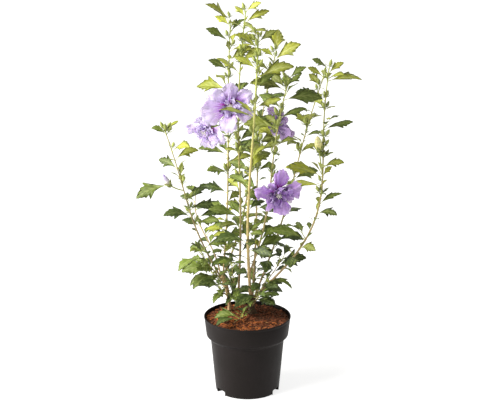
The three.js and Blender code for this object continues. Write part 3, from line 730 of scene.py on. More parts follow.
def tube_frames(centres):
    """Two directions square to a line of points at each of them, carried along without a twist."""
    along = np.gradient(centres, axis=0)
    along /= np.linalg.norm(along, axis=1)[:, None]
    across = [squared(off_axis(along[0]), along[0])]
    for direction in along[1:]:
        across.append(squared(across[-1], direction))
    across = np.array(across)
    return across, np.cross(along, across)


def tube(centres, radii, sides):
    """A closed tube through points, as its own points and faces. A radius may vary round the ring."""
    across, third = tube_frames(centres)
    angles = ring_angles(sides)[:, None]
    outward = np.cos(angles) * across[:, None] + np.sin(angles) * third[:, None]
    radii = np.broadcast_to(np.asarray(radii, float).reshape(len(centres), -1), (len(centres), sides))
    rings = centres[:, None] + radii[..., None] * outward
    points = np.vstack([rings.reshape(-1, 3), centres[:1], centres[-1:]])
    return points, capped_rings(len(centres), sides)


class Wiring:
    """Adds nodes to a tree. An input is given as a value, or as another node's output to join it to."""

    def __init__(self, tree):
        self.tree = tree

    def add(self, kind, inputs=None, **settings):
        node = self.tree.nodes.new(kind)
        for name, value in settings.items():
            setattr(node, name, value)
        for key, value in (inputs or {}).items():
            if isinstance(value, bpy.types.NodeSocket):
                self.tree.links.new(value, node.inputs[key])
            else:
                node.inputs[key].default_value = value
        return node

    def group(self, tree, inputs):
        return self.add("ShaderNodeGroup", inputs, node_tree=tree).outputs

    def noise(self, place, size, detail, roughness=0.5):
        inputs = {"Vector": place, "Scale": size, "Detail": detail, "Roughness": roughness}
        return self.add("ShaderNodeTexNoise", inputs).outputs[0]

    def carried(self, value, span, onto):
        """A value carried from one span to another, and held within it."""
        inputs = {"Value": value, 1: span[0], 2: span[1], 3: onto[0], 4: onto[1]}
        return self.add("ShaderNodeMapRange", inputs).outputs[0]

    def math(self, operation, first, second):
        return self.add("ShaderNodeMath", {0: first, 1: second}, operation=operation).outputs[0]

    def times(self, first, second):
        """Two vectors or colours, multiplied part by part."""
        return self.add("ShaderNodeVectorMath", {0: first, 1: second}, operation="MULTIPLY").outputs[0]

    def scaled(self, vector, factor):
        return self.add("ShaderNodeVectorMath", {0: vector, "Scale": factor}, operation="SCALE").outputs[0]

    def mixed(self, share, first, second):
        """A share of the way from the first colour to the second."""
        return self.add("ShaderNodeMix", {0: share, 6: first, 7: second}, data_type="RGBA").outputs[2]


# ---------------------------------------------------------------- leaves

# Half of a leaf's outline, from its stalk on, for a blade of length 1: where a side vein leaves the
# midrib, the tooth that it ends in, and the notch before the next tooth, as (along, out). The blade
# starts as a plain wedge, and is broadest at its side lobes, past the middle.
VEINS = [
    (0.00, (0.00, 0.012), (0.2, 0.07)),
    (0.05, (0.37, 0.165), (0.41, 0.155)),
    (0.12, (0.6, 0.32), (0.575, 0.15)),
    (0.36, (0.725, 0.195), (0.74, 0.135)),
    (0.55, (0.85, 0.13), (0.865, 0.085)),
    (0.73, (0.945, 0.062), (0.955, 0.034)),
]
UNLOBED = {2: ((0.55, 0.255), (0.59, 0.225)), 3: ((0.71, 0.225), (0.735, 0.175))}
BLUNT = 0.022  # half the width of a tooth's end
FULL_TOOTH = 0.12  # a tooth that ends nearer the midrib than this is sharper
QUILT = 0.012  # how far a blade rises between its veins, for a length of 1
BLADE_THICK = 0.35
ON_MIDRIB, ON_VEIN, ON_TOOTH = 1.0, 0.75, 0.25  # how much of a vein's colour a point has


def leaf_template(lobed):
    """(along, out, lift, vein) of each point of a leaf's upper face, its faces, and its rim's points."""
    rows, rim, faces = [], set(), []

    def put(along, out, lift, vein, edge=False):
        rows.append((along, out, lift, vein))
        if edge:
            rim.add(len(rows) - 1)
        return len(rows) - 1

    veins = []
    for i, (foot, tooth, notch) in enumerate(VEINS):
        if i in UNLOBED:
            plain_tooth, plain_notch = UNLOBED[i]
            tooth = tuple(between((a, b), lobed) for a, b in zip(plain_tooth, tooth))
            notch = tuple(between((a, b), lobed) for a, b in zip(plain_notch, notch))
        veins.append((foot, tooth, notch))
    feet = [foot for foot, _, _ in veins] + [1.0]
    spine = [put(foot, 0, -QUILT / 2, ON_MIDRIB, i == 0) for i, foot in enumerate(feet[:-1])]
    gaps = [put((feet[i] + feet[i + 1]) / 2, 0, -QUILT / 2, ON_MIDRIB) for i in range(len(veins))]
    tip = put(1, 0, 0, ON_TOOTH, True)
    for way in (1, -1):
        inner, outer, blunt, bulge, cleft = [], [], [], [], []
        for i, (foot, tooth, notch) in enumerate(veins):
            middle = (feet[i] + feet[i + 1]) / 2
            near = ((foot + tooth[0]) / 2, way * tooth[1] / 2)
            inner.append(put(*near, 0 if i == 0 else -QUILT / 2, ON_VEIN, i == 0))
            end = BLUNT * min(1, tooth[1] / FULL_TOOTH)
            outer.append(put(max(0, tooth[0] - end), way * (tooth[1] - end / 3), 0, ON_TOOTH, True))
            blunt.append(put(tooth[0] + end / 2, way * (tooth[1] - end / 2), 0, ON_TOOTH, True))
            bulge.append(put((middle + notch[0]) / 2, way * notch[1] / 2, QUILT, 0))
            cleft.append(put(notch[0], way * notch[1], QUILT / 3, 0, True))
        for i in range(len(veins)):
            last = i == len(veins) - 1
            quads = [(spine[i], gaps[i], bulge[i], inner[i]), (inner[i], bulge[i], cleft[i], blunt[i])]
            quads.append((inner[i], blunt[i], outer[i]))
            if last:
                quads += [(gaps[i], tip, bulge[i]), (bulge[i], tip, cleft[i])]
            else:
                quads += [
                    (gaps[i], spine[i + 1], inner[i + 1], bulge[i]),
                    (bulge[i], inner[i + 1], outer[i + 1], cleft[i]),
                ]
            faces += quads if way < 0 else [face[::-1] for face in quads]
    return np.array(rows, float), faces, rim


def add_shell(skin, points, lower, faces, rim, kinds, marks):
    """A thin closed shell: the upper face, and the lower one joined to it along the rim."""
    order = [i for i in range(len(points)) if i not in rim]
    matching = {i: i for i in rim} | {i: len(points) + k for k, i in enumerate(order)}
    backs = [tuple(matching[corner] for corner in face[::-1]) for face in faces]
    upper, under = kinds
    kinds = [upper] * len(faces) + [under] * len(faces)
    skin.add(np.vstack([points, lower[order]]), faces + backs, kinds, np.vstack([marks, marks[order]]))


LOBED_STEPS = 5
TEMPLATES = [leaf_template(k / (LOBED_STEPS - 1)) for k in range(LOBED_STEPS)]
LEAF_LOOK = SimpleNamespace(
    rib_steps=24, width=(0.84, 1.1), fold=(0.02, 0.45), curl=(0.25, 1.3), twist=(-24, 24),
    wave=(0.015, 0.065), waves=9, side_wave=2.2, full_wave=0.3, least_lobed=0.25, young_lobed=0.5,
)  # fmt: skip
LEAF_STALK = SimpleNamespace(
    radii=(1.25, 0.95, 0.72, 0.66, 0.6, 0.25), sides=5, full_leaf=45, least=0.55, into_blade=0.05, under=0.3,
)  # fmt: skip


def add_leaf(skin, leaf, draw, upper, lower):
    """One lobed leaf in its own outline, folded along its midrib, with its lobes turned down."""
    width, fold, curl, wave, phase, twist, lobed, tone = [draw() for _ in range(8)]
    if leaf.young:
        lobed *= LEAF_LOOK.young_lobed
    step = int(LOBED_STEPS * between((LEAF_LOOK.least_lobed, 1), lobed))
    rows, faces, rim = TEMPLATES[min(LOBED_STEPS - 1, step)]
    along, out, lift, vein = rows.T
    rib = midrib(leaf, LEAF_LOOK.rib_steps)
    centre, right, top = frames_on(leaf, rib, leaf.stalk + leaf.length * along)
    turn = (between(LEAF_LOOK.twist, twist) * along * DEGREE)[:, None]
    right, top = right * np.cos(turn) + top * np.sin(turn), top * np.cos(turn) - right * np.sin(turn)
    side = out * between(LEAF_LOOK.width, width)
    swing = LEAF_LOOK.waves * along + WAVE * phase + LEAF_LOOK.side_wave * np.sign(out)
    ripple = between(LEAF_LOOK.wave, wave) * np.sin(swing) * (np.abs(side) / LEAF_LOOK.full_wave)
    height = lift + between(LEAF_LOOK.fold, fold) * np.abs(side) - between(LEAF_LOOK.curl, curl) * side**2
    height += ripple
    points = centre + leaf.length * (side[:, None] * right + height[:, None] * top)
    marks = np.column_stack([vein, along, np.full(len(vein), tone)])
    add_shell(skin, points, points - BLADE_THICK * top, faces, rim, (upper, lower), marks)


def add_stalk(skin, leaf):
    """A leaf's stalk, with a thicker foot on its stem and its tip under the blade."""
    rib = midrib(leaf, LEAF_LOOK.rib_steps)
    reach = leaf.stalk + LEAF_STALK.into_blade * leaf.length
    centre, _, top = frames_on(leaf, rib, np.linspace(0, reach, len(LEAF_STALK.radii)))
    size = min(1, leaf.length / LEAF_STALK.full_leaf)
    radii = np.array(LEAF_STALK.radii) * max(LEAF_STALK.least, size)
    skin.add(*tube(centre - LEAF_STALK.under * top, radii, LEAF_STALK.sides), 0, PLAIN)


# ---------------------------------------------------------------- stems, boughs, canes and twigs

# Seeds of bark are the first limb's and the step to the next one's.
BARK = SimpleNamespace(
    sides=30, bough_sides=16, stem_seeds=(40, 7), bough_seeds=(90, 11),
    ring=1.1, least_rings=8, sunk=5, past=0.004,
    fissure=0.55, fissure_size=(0.5, 0.07), full_fissure=6, ridge=0.55, cut=2.4,
    grain=0.22, grain_size=(1.6, 0.7), full_grain=4,
    scar=20, scar_height=0.28, scar_width=1.6,
)  # fmt: skip
# How much a stem swells: at heights over the ground, as shares of its flare, and in mm at shares of
# its length, where the canes leave it.
FLARE = SimpleNamespace(heights=(0, 4, FLARE_HEIGHT), swells=(1, 0.55, 0))
FORK = SimpleNamespace(shares=(0.45, 0.8, 0.94, 1), swells=(0, 0.4, 0.3, -1.4))
GREEN_WOOD = (235, 900)  # heights between which a cane turns from brown wood to green
PALE_LIMBS = {"front": 0.75, "stem_left": 1.0, "stem_second": 1.0, "left_tall": 0.3}
USUAL_PALENESS = 0.17
CANE = SimpleNamespace(
    sides=9, ring=3.2, least_rings=12, tip=0.5, knuckle=0.22, knuckle_reach=2.6, overlap=2.5
)  # fmt: skip
TWIG_LOOK = SimpleNamespace(rings=8, sides=7, foot=-0.1, radius=(1.25, 0.8))
FLOWER_STALK_LOOK = SimpleNamespace(rings=9, sides=8, sag=-0.05, radius=(1.3, 1.7))


def limb_marks(points, name, relief=0.0):
    """For the patterns on a limb: how green it is, how proud its surface stands, for the painted shade in its
    fissures, and how pale it is.
    """
    low, high = GREEN_WOOD
    green = np.clip((points[:, 2] - low) / (high - low), 0, 1)
    paleness = between((PALE_LIMBS.get(name, USUAL_PALENESS), USUAL_PALENESS), green)
    return np.column_stack([green, np.broadcast_to(relief, len(points)), paleness])


def bark_noise(x, y, z, size, seed):
    across, along = size
    return noise.noise(Vector((across * x, across * y, along * z + seed)))


def bark_relief(limb, centres, radii, sides, seed):
    """Heights of the bark over a limb's surface, ring by ring: long fissures, fine grain and old scars."""
    rough = np.zeros((len(centres), sides))
    depth = BARK.fissure * np.minimum(1, radii / BARK.full_fissure)
    for i, centre in enumerate(centres):
        for k, angle in enumerate(ring_angles(sides)):
            x, y = radii[i] * math.cos(angle), radii[i] * math.sin(angle)
            long = bark_noise(x, y, centre[2], BARK.fissure_size, seed)
            fine = bark_noise(x, y, centre[2], BARK.grain_size, seed)
            grain = BARK.grain * fine * min(1, radii[i] / BARK.full_grain)
            rough[i, k] = depth[i] * (BARK.ridge - BARK.cut * abs(long)) + grain
    down = length_of(limb) * np.linspace(0, 1, len(centres))
    scars = BARK.scar_height * np.exp(-(((down % BARK.scar) - BARK.scar / 2) ** 2) / BARK.scar_width)
    return rough + scars[:, None]


def add_barked(skin, limb, t0, t1, sides, seed, kind=0, swells=((0, 1), (0, 0))):
    """A limb in bark. The relief is worked into its mesh. The swells are (shares, swells in mm)."""
    count = max(BARK.least_rings, round(length_of(limb) * abs(t1 - t0) / BARK.ring))
    t = np.linspace(t0, t1, count)
    centres = point_on(limb, t)
    radii = between(limb.radius, np.clip(t, 0, 1)) + np.interp(t, *swells)
    relief = bark_relief(limb, centres, radii, sides, seed)
    points, faces = tube(centres, radii[:, None] + relief, sides)
    # How proud the bark stands, which the finish turns into painted shade in its fissures.
    proud = np.append((relief / BARK.fissure).ravel(), [0, 0])
    skin.add(points, faces, kind, limb_marks(points, limb.name, proud))


def stem_bark():
    """The woody stems, each from just under the mulch to its fork."""
    skin = Skin()
    first, step = BARK.stem_seeds
    for number, stem in enumerate(STEMS):
        rise = stem.tip[2] - stem.start[2]
        shares = [height / rise for height in FLARE.heights] + list(FORK.shares)
        swells = [stem.flare * share for share in FLARE.swells] + list(FORK.swells)
        kind = min(number, 1)
        foot = -BARK.sunk / rise
        add_barked(skin, stem, foot, 1, BARK.sides, first + step * number, kind, (shares, swells))
    return skin


def bough_bark():
    """The bare lengths of the canes, from their stem to where the foliage begins."""
    skin = Skin()
    first, step = BARK.bough_seeds
    for number, cane in enumerate(CANES):
        top = leafy_share(cane) + BARK.past
        add_barked(skin, cane, 0, top, BARK.bough_sides, first + step * number)
    return skin


def add_smooth(skin, limb, centres, radii, sides):
    """A limb with a smooth skin."""
    points, faces = tube(centres, radii, sides)
    skin.add(points, faces, 0, limb_marks(points, limb.name))


def knuckles(limb, start, t):
    """How much a leafy stem swells at share t of its length, next to its nodes."""
    count = len(limb.leaves + limb.crown)
    nodes = np.array([between((start, 1), node_share(limb, i)) for i in range(count)])
    nearest = np.abs(t[:, None] - nodes[None]).min(1) * length_of(limb)
    return CANE.knuckle * np.exp(-((nearest / CANE.knuckle_reach) ** 2))


def leafy_stems(masses):
    """The leafy lengths of the canes and the low shoots, with a knuckle at each node."""
    skin = Skin()
    for grown in masses:
        limb, start = grown.limb, grown.start
        rings = max(CANE.least_rings, round(length_of(limb) * (1 - start) / CANE.ring))
        t = np.linspace(start - CANE.overlap / length_of(limb), 1, rings)
        radii = between(limb.radius, np.clip(t, 0, 1)) * (1 + knuckles(limb, start, t))
        radii[-1] *= CANE.tip
        add_smooth(skin, limb, point_on(limb, t), radii, CANE.sides)
    return skin


def twigs_and_stalks(masses):
    """Twigs, the leaves' stalks, and the stalks of blooms and large buds."""
    skin = Skin()
    look = TWIG_LOOK
    for grown in masses:
        for twig in grown.twigs:
            centres = point_on(twig, np.linspace(look.foot, 1, look.rings))
            add_smooth(skin, twig, centres, np.linspace(*look.radius, look.rings), look.sides)
        for leaf in grown.leaves:
            add_stalk(skin, leaf)
    look = FLOWER_STALK_LOOK
    for flower in BLOOMS + LARGE_BUDS:
        stalk = stalk_to(flower)
        sag = np.array([0, 0, look.sag * length_of(stalk)])
        t = np.linspace(0, 1, look.rings)
        centres = point_on(stalk, t) + np.sin(np.pi * t)[:, None] * sag
        add_smooth(skin, stalk, centres, np.linspace(*look.radius, look.rings), look.sides)
    return skin


# ---------------------------------------------------------------- buds

# A closed bud's radius at shares of its length, for a radius of 1.
BUD_SHAPE = (
    (0, 0.34), (0.08, 0.72), (0.25, 0.98), (0.45, 1.0), (0.66, 0.78), (0.85, 0.42), (0.97, 0.12), (1, 0.02),
)  # fmt: skip
BUD_LOOK = SimpleNamespace(sides=10, slim=0.84, rib=0.09, into=0.1, foot=0.3)
BUD_STALK = SimpleNamespace(radii=(1.3, 1, 0.95, 1.1, 1.2), sides=6, least=0.55, slimmer=5)
BRACT = SimpleNamespace(
    count=8, length=1.05, radius=0.42, radii=(1, 1.15, 1, 0.7, 0.12), sides=4, stray=0.3,
    rises=(15, 38, 52, 60), spread=38,
)  # fmt: skip
SEPALS = 5
BUD_GREEN, BRACT_GREEN = 0, 1


def add_bracts(skin, root, axis, length, foot, draw):
    """A ring of narrow bracts that curve up round the foot of a bud or a calyx."""
    across, third = square_to(axis)
    first = 2 * math.pi * draw()
    for k in range(BRACT.count):
        turn = first + 2 * math.pi * (k + BRACT.stray * (draw() - 0.5)) / BRACT.count
        out = at_turn(across, third, turn)
        rises = (np.array(BRACT.rises) + BRACT.spread * (draw() - 0.5))[:, None] * DEGREE
        hops = np.cumsum(np.cos(rises) * out + np.sin(rises) * axis, axis=0)
        line = root + foot * out + np.vstack([[0, 0, 0], hops]) * length / len(BRACT.rises)
        bract = tube(line, BRACT.radius * np.array(BRACT.radii), BRACT.sides)
        skin.add(*bract, BRACT_GREEN, (0.5, 0.5, draw()))


def add_bud(skin, bud, draw):
    """A closed bud: five ribbed sepals drawn to a point over a ring of bracts, on its stalk."""
    marks = (0.5, 0.5, draw())
    shares, widths = np.array(BUD_SHAPE).T
    angles = ring_angles(BUD_LOOK.sides)
    ribs = 1 + BUD_LOOK.rib * np.cos(SEPALS * angles)[None] * np.sin(np.pi * shares)[:, None]
    centres = bud.root + np.outer(bud.stalk + bud.length * shares, bud.axis)
    radii = bud.radius * BUD_LOOK.slim * widths[:, None] * ribs
    skin.add(*tube(centres, radii, BUD_LOOK.sides), BUD_GREEN, marks)
    reach = bud.stalk + BUD_LOOK.into * bud.length
    stalk = bud.root + np.outer(np.linspace(0, reach, len(BUD_STALK.radii)), bud.axis)
    thickness = max(BUD_STALK.least, bud.radius / BUD_STALK.slimmer)
    skin.add(*tube(stalk, thickness * np.array(BUD_STALK.radii), BUD_STALK.sides), BRACT_GREEN, marks)
    add_bracts(skin, stalk[-2], bud.axis, bud.length * BRACT.length, BUD_LOOK.foot * bud.radius, draw)


# ---------------------------------------------------------------- blooms

BROAD = SimpleNamespace(
    rows=24, columns=20, foot=2, thick=0.5, bulge=0.17, cup=(-0.45, 0.6), ruffle=(0.07, 0.18),
    waves=(1.6, 3.2), pleat=0.036, crease=0.13,
    widths=((0, 0.05), (0.14, 0.09), (0.34, 0.21), (0.55, 0.35), (0.76, 0.43), (0.9, 0.42), (1, 0.31)),
)  # fmt: skip
NARROW = SimpleNamespace(
    rows=14, columns=8, foot=2, thick=0.5, bulge=0.2, cup=(-0.9, 1.5), ruffle=(0.08, 0.18),
    waves=(1.8, 3.6), pleat=0.03, crease=0.09,
    widths=((0, 0.05), (0.25, 0.09), (0.5, 0.18), (0.75, 0.26), (0.9, 0.24), (1, 0.14)),
)  # fmt: skip
SEPAL = SimpleNamespace(
    rows=7, columns=4, foot=0, thick=0.7, bulge=0.1, cup=(0.5, 0.8), ruffle=(0, 0.01),
    waves=(1, 1.2), pleat=0, crease=0, widths=((0, 0.3), (0.3, 0.34), (0.6, 0.25), (0.85, 0.11), (1, 0.03)),
)  # fmt: skip
PETAL_LOOK = SimpleNamespace(
    rib_steps=30, reach=0.999, round=2.4, frill=0.025, frills=11, frill_power=6,
    side_wave=1.7, ruffle_powers=(1.6, 1.5), pleats=8, pleat_end=1.4, dents=(3.1, 2.3), dent_slices=20,
)  # fmt: skip
# Extra rings of petals that make a bloom double: broad ones half way in, narrow ones in its heart.
MIDDLE = SimpleNamespace(
    count=6, length=(30, 46), rise=(40, 72), droop=(10, 110), roll=90, wide=0.8, behind=6, stalk=8, stray=0.8,
)  # fmt: skip
HEART = SimpleNamespace(
    count=15, length=(15, 34), rise=(40, 84), droop=(0, 100), roll=90, wide=1, behind=6, stalk=8, stray=0.5,
)  # fmt: skip
COLUMN = SimpleNamespace(foot=-4, length=26, radii=(2.6, 2.4, 2.1, 1.8, 1.6, 1.4, 1.2, 0.9, 0.5), sides=8)
FILAMENT = SimpleNamespace(
    count=36, turn=2.4, first=5, past=1, lean=(0.1, 0.9), length=(4.5, 9), bow=(-0.5, 0.8),
    radii=(0.32, 0.26, 0.2), sides=4, anther=(0.75, 1.15),
)  # fmt: skip
STAMEN, ANTHER = 0, 1
CALYX = SimpleNamespace(
    behind=14, length=19, foot=5, rise=46, droop=-26, bracts=0.62, bract_foot=0.6, lower=1.5,
)  # fmt: skip
SPINDLE = SimpleNamespace(
    rings=16, foot=-0.46, sides=20, slim=0.92, petals=5, twist=1.6, step=0.13,
    calyx_behind=0.52, calyx_length=0.5, calyx_foot=0.25,
    shape=((-0.5, 0.4), (-0.3, 0.82), (-0.08, 1), (0.15, 0.9), (0.34, 0.62), (0.46, 0.3), (0.5, 0.06)),
)  # fmt: skip


def add_petal(skin, petal, shape, draw, kinds):
    """A petal or a sepal as a thin closed shell: pleated along its length and ruffled at its margin."""
    cup, ruffle, waves, phase, pleat, crease, tone = [draw() for _ in range(7)]
    look = PETAL_LOOK
    down, over = np.linspace(0, 1, shape.rows + 1), np.linspace(-1, 1, shape.columns + 1)
    u, v = (grid.ravel() for grid in np.meshgrid(down, over, indexing="ij"))
    frill = look.frill * np.sin(look.frills * v + WAVE * phase) * u**look.frill_power
    along = u * (1 - shape.bulge * u**2 * np.abs(v) ** look.round) + frill
    side = np.interp(u, *np.array(shape.widths).T) * v * petal.wide
    reach = shape.foot + along * (petal.stalk + petal.length - shape.foot) * look.reach
    centre, right, top = frames_on(petal, midrib(petal, look.rib_steps), reach)
    wave = np.sin(2 * np.pi * (between(shape.waves, waves) * u + phase) + look.side_wave * np.sign(v))
    folds = shape.pleat * np.sin(look.pleats * v + WAVE * pleat) * u * (look.pleat_end - u)
    (long, wide), depth = look.dents, look.dent_slices * crease
    dents = [noise.noise(Vector((long * a, wide * b, depth))) for a, b in zip(u, v)]
    outwards, lengthwise = look.ruffle_powers
    height = between(shape.cup, cup) * side**2
    height += between(shape.ruffle, ruffle) * wave * np.abs(v) ** outwards * u**lengthwise
    height += folds + shape.crease * np.array(dents) * u
    points = centre + petal.length * (side[:, None] * right + height[:, None] * top)
    step = shape.columns + 1
    corners = [i * step + j for i in range(shape.rows) for j in range(shape.columns)]
    faces = [(a, a + 1, a + step + 1, a + step) for a in corners]
    rim = {k for k in range(len(u)) if u[k] in (0, 1) or abs(v[k]) == 1}
    marks = np.column_stack([v, u, np.full(len(u), tone)])
    add_shell(skin, points, points - shape.thick * top, faces, rim, kinds, marks)


def extra_petals(petals, kind, draw):
    """One of the rings of petals that fill a double bloom."""
    ring = []
    for k in range(kind.count):
        size, rise, droop, stray, roll = [draw() for _ in range(5)]
        turn = 2 * math.pi * (k + kind.stray * stray) / kind.count
        ring.append(SimpleNamespace(
            root=petals.centre - kind.behind * petals.faces, out=at_turn(petals.across, petals.over, turn),
            up=petals.faces, stalk=kind.stalk, length=between(kind.length, size), wide=kind.wide,
            rise=between(kind.rise, rise), droop=between(kind.droop, droop), roll=kind.roll * (roll - 0.5),
        ))  # fmt: skip
    return ring


def add_anther(skin, centre, radius, tone):
    """A small eight-sided grain."""
    corners = radius * np.vstack([np.eye(3), -np.eye(3)])
    faces = [(0, 1, 2), (1, 3, 2), (3, 4, 2), (4, 0, 2), (1, 0, 5), (3, 1, 5), (4, 3, 5), (0, 4, 5)]
    skin.add(centre + corners, faces, ANTHER, (0.5, 0.5, tone))


def add_heart(skin, petals, draw):
    """The column of stamens, with its filaments and their anthers."""

    def at(height):
        return petals.centre + petals.faces * height

    line = np.array([at(height) for height in np.linspace(COLUMN.foot, COLUMN.length, len(COLUMN.radii))])
    skin.add(*tube(line, np.array(COLUMN.radii), COLUMN.sides), STAMEN, PLAIN)
    for k in range(FILAMENT.count):
        out = at_turn(petals.across, petals.over, FILAMENT.turn * k)
        share = (k + draw()) / FILAMENT.count
        foot = at(between((FILAMENT.first, COLUMN.length - FILAMENT.past), share))
        lean = unit(out + petals.faces * between(FILAMENT.lean, draw()))
        end = foot + lean * between(FILAMENT.length, draw())
        middle = (foot + end) / 2 + petals.faces * between(FILAMENT.bow, draw())
        line = np.array([foot, middle, end])
        skin.add(*tube(line, np.array(FILAMENT.radii), FILAMENT.sides), STAMEN, PLAIN)
        add_anther(skin, end, between(FILAMENT.anther, draw()), draw())


def add_calyx(skin, root, axis, length, foot, draw):
    """Five pointed sepals and a ring of bracts behind a bloom or a large bud."""
    across, third = square_to(axis)
    for k in range(SEPALS):
        out = at_turn(across, third, 2 * math.pi * (k + 0.5) / SEPALS)
        sepal = SimpleNamespace(
            root=root, out=out, up=axis, stalk=foot, length=length, wide=1,
            rise=CALYX.rise, droop=CALYX.droop, roll=0,
        )  # fmt: skip
        add_petal(skin, sepal, SEPAL, draw, (BUD_GREEN, BUD_GREEN))
    add_bracts(skin, root - CALYX.lower * axis, axis, CALYX.bracts * length, foot * CALYX.bract_foot, draw)


def add_large_bud(petal_skin, green_skin, bud, draw, kind):
    """A bud about to open: petals rolled into a spindle, held by a long calyx."""
    look = SPINDLE
    axis, centre = unit(bud.faces), np.array(bud.centre)
    shares = np.linspace(look.foot, 0.5, look.rings)
    widths = np.interp(shares, *np.array(look.shape).T)[:, None]
    angles = ring_angles(look.sides)[None]
    spiral = (look.petals * angles / (2 * np.pi) + look.twist * shares[:, None]) % 1
    rolled = 1 + look.step * (spiral - 0.5)
    line = centre + np.outer(shares * bud.length, axis)
    points, faces = tube(line, bud.radius * look.slim * widths * rolled, look.sides)
    climb = np.append(np.repeat(shares + 0.5, look.sides), [0, 1])
    marks = np.column_stack([np.zeros(len(climb)), climb, np.full(len(climb), 0.5)])
    petal_skin.add(points, faces, kind, marks)
    root = centre - axis * look.calyx_behind * bud.length
    add_calyx(green_skin, root, axis, look.calyx_length * bud.length, look.calyx_foot * bud.radius, draw)


# ---------------------------------------------------------------- pot

RIM = SimpleNamespace(bead=1.5, line=7, line_half=1, line_depth=0.35, under_line=1.3, over_line=1.0, neck=0.9)
FILLET_STEPS = 5
SHARP = 32  # edges of the pot that turn more than this stay sharp


def fillet(corner, before, after, radius):
    """The points of a round corner of a profile, given the corner and the points on either side."""
    corner, before, after = (np.array(point, float) for point in (corner, before, after))
    to_before, to_after = unit(before - corner), unit(after - corner)
    half = math.acos(max(-1, min(1, to_before @ to_after))) / 2
    reach = radius / math.tan(half)
    middle = corner + unit(to_before + to_after) * radius / math.sin(half)
    start, end = corner + to_before * reach - middle, corner + to_after * reach - middle
    sweep = math.atan2(start[0] * end[1] - start[1] * end[0], start @ end)
    points = []
    for step in range(FILLET_STEPS + 1):
        angle = sweep * step / FILLET_STEPS
        turned = (
            start[0] * math.cos(angle) - start[1] * math.sin(angle),
            start[0] * math.sin(angle) + start[1] * math.cos(angle),
        )
        points.append(tuple(middle + turned))
    return points


def rounded(corners):
    """A profile from (radius, height, fillet) corners. A fillet of 0 keeps the corner."""
    profile = []
    for i, (r, z, radius) in enumerate(corners):
        if radius:
            profile += fillet((r, z), corners[i - 1][:2], corners[i + 1][:2], radius)
        else:
            profile.append((r, z))
    return profile


def level_ring(radius, height, count):
    """Points round the Z axis."""
    angles = ring_angles(count)
    return np.column_stack([radius * np.cos(angles), radius * np.sin(angles), np.full(count, height)])


def turned_solid(profile, facets):
    """The points and faces of a turned solid. The profile runs from the axis round to the axis."""
    foot, *corners, top = profile
    rings = [level_ring(*corner, facets) for corner in corners]
    points = np.vstack([*rings, [[0, 0, foot[1]], [0, 0, top[1]]]])
    return points, capped_rings(len(rings), facets)


def pot_profile():
    """The pot's section: up its outside, over its rim, and down its inside."""
    shoulder = COLLAR_FOOT - POT.shoulder
    line, bead = POT.height - RIM.line, POT.height - 2 * RIM.bead
    rim, wall = POT.rim_radius, POT.wall
    # Each corner is (radius, height, fillet).
    return rounded([
        (0, 0, 0), (POT.base_radius, 0, 3),
        (POT.body_radius, shoulder, 6), (POT.collar_foot_radius, COLLAR_FOOT, 5),
        (rim - RIM.under_line, line - RIM.line_half, 0), (rim - RIM.under_line - RIM.line_depth, line, 0),
        (rim - RIM.over_line, line + RIM.line_half, 0), (rim - RIM.neck, bead, 0.5), (rim, bead + 0.3, 0.6),
        (rim, POT.height, 1.2), (rim - wall - 0.6, POT.height, 0.8),
        (POT.collar_foot_radius - wall, COLLAR_FOOT + 1, 3), (POT.body_radius - wall, shoulder + 1, 3),
        (POT.base_radius - wall - 0.6, POT.floor, 2), (0, POT.floor, 0),
    ])  # fmt: skip


def notch_block(turn, inner, outer, width, low, high, corner):
    """A block with a flat foot and round upper corners, run out along a radius of the pot."""
    half = width / 2
    section = [(-half, low), (half, low)]
    section += fillet((half, high), (half, low), (-half, high), corner)
    section += fillet((-half, high), (half, high), (-half, low), corner)
    count = len(section)
    out, side = towards(turn), towards(turn + 90)
    points = [out * reach + side * across + UP * z for reach in (inner, outer) for across, z in section]
    faces = [(k, (k + 1) % count, count + (k + 1) % count, count + k) for k in range(count)]
    faces += [tuple(range(count - 1, -1, -1)), tuple(range(count, 2 * count))]
    return np.array(points), faces


def loose_object(name, points, faces):
    """A mesh object in metres, which isn't kept as it is."""
    return in_scene(name, metre_mesh(name, points, faces))


def applied(made):
    """The object with its modifiers worked into its mesh."""
    graph = bpy.context.evaluated_depsgraph_get()
    mesh = bpy.data.meshes.new_from_object(made.evaluated_get(graph))
    made.modifiers.clear()
    made.data = mesh
    return made


def combine(body, block, operation):
    """A block worked into a body as a Boolean."""
    tool = loose_object("block", *block)
    modifier = body.modifiers.new(operation.lower(), "BOOLEAN")
    modifier.object = tool
    modifier.operation = operation
    modifier.solver = "EXACT"
    applied(body)
    bpy.data.objects.remove(tool)


def build_pot(plastic):
    """The pot, with its three drainage notches at the foot."""
    pot = loose_object("nursery_pot", *turned_solid(pot_profile(), POT.facets))
    width, height, roof = NOTCH.width, NOTCH.height, NOTCH.roof
    inner = POT.base_radius - POT.wall - NOTCH.depth
    drain = inner + NOTCH.drain_in
    cover = dict(
        inner=inner - roof, outer=POT.base_radius - 1.2, width=width + 2 * roof,
        low=0.5, high=height + roof, corner=5,
    )  # fmt: skip
    hollow = dict(inner=inner, outer=POT.base_radius + 20, width=width, low=-1, high=height, corner=3.5)
    hole = dict(
        inner=drain, outer=drain + NOTCH.drain, width=NOTCH.drain,
        low=height - 2, high=height + 4, corner=1,
    )  # fmt: skip
    for k in range(NOTCH.count):
        turn = NOTCH.turn + 360 * k / NOTCH.count
        for block, operation in ((cover, "UNION"), (hollow, "DIFFERENCE"), (hole, "DIFFERENCE")):
            combine(pot, notch_block(turn, **block), operation)
    pot.data.materials.clear()
    pot.data.materials.append(plastic)
    pot.data.shade_smooth()
    pot.data.set_sharp_from_angle(angle=SHARP * DEGREE)
    return pot


# ---------------------------------------------------------------- soil and mulch

BED = SimpleNamespace(
    facets=150, rings=40, clear=0.9, sunk=0.8, fall=1.3, mound=3.5, mound_reach=24, over_floor=0.4,
)  # fmt: skip
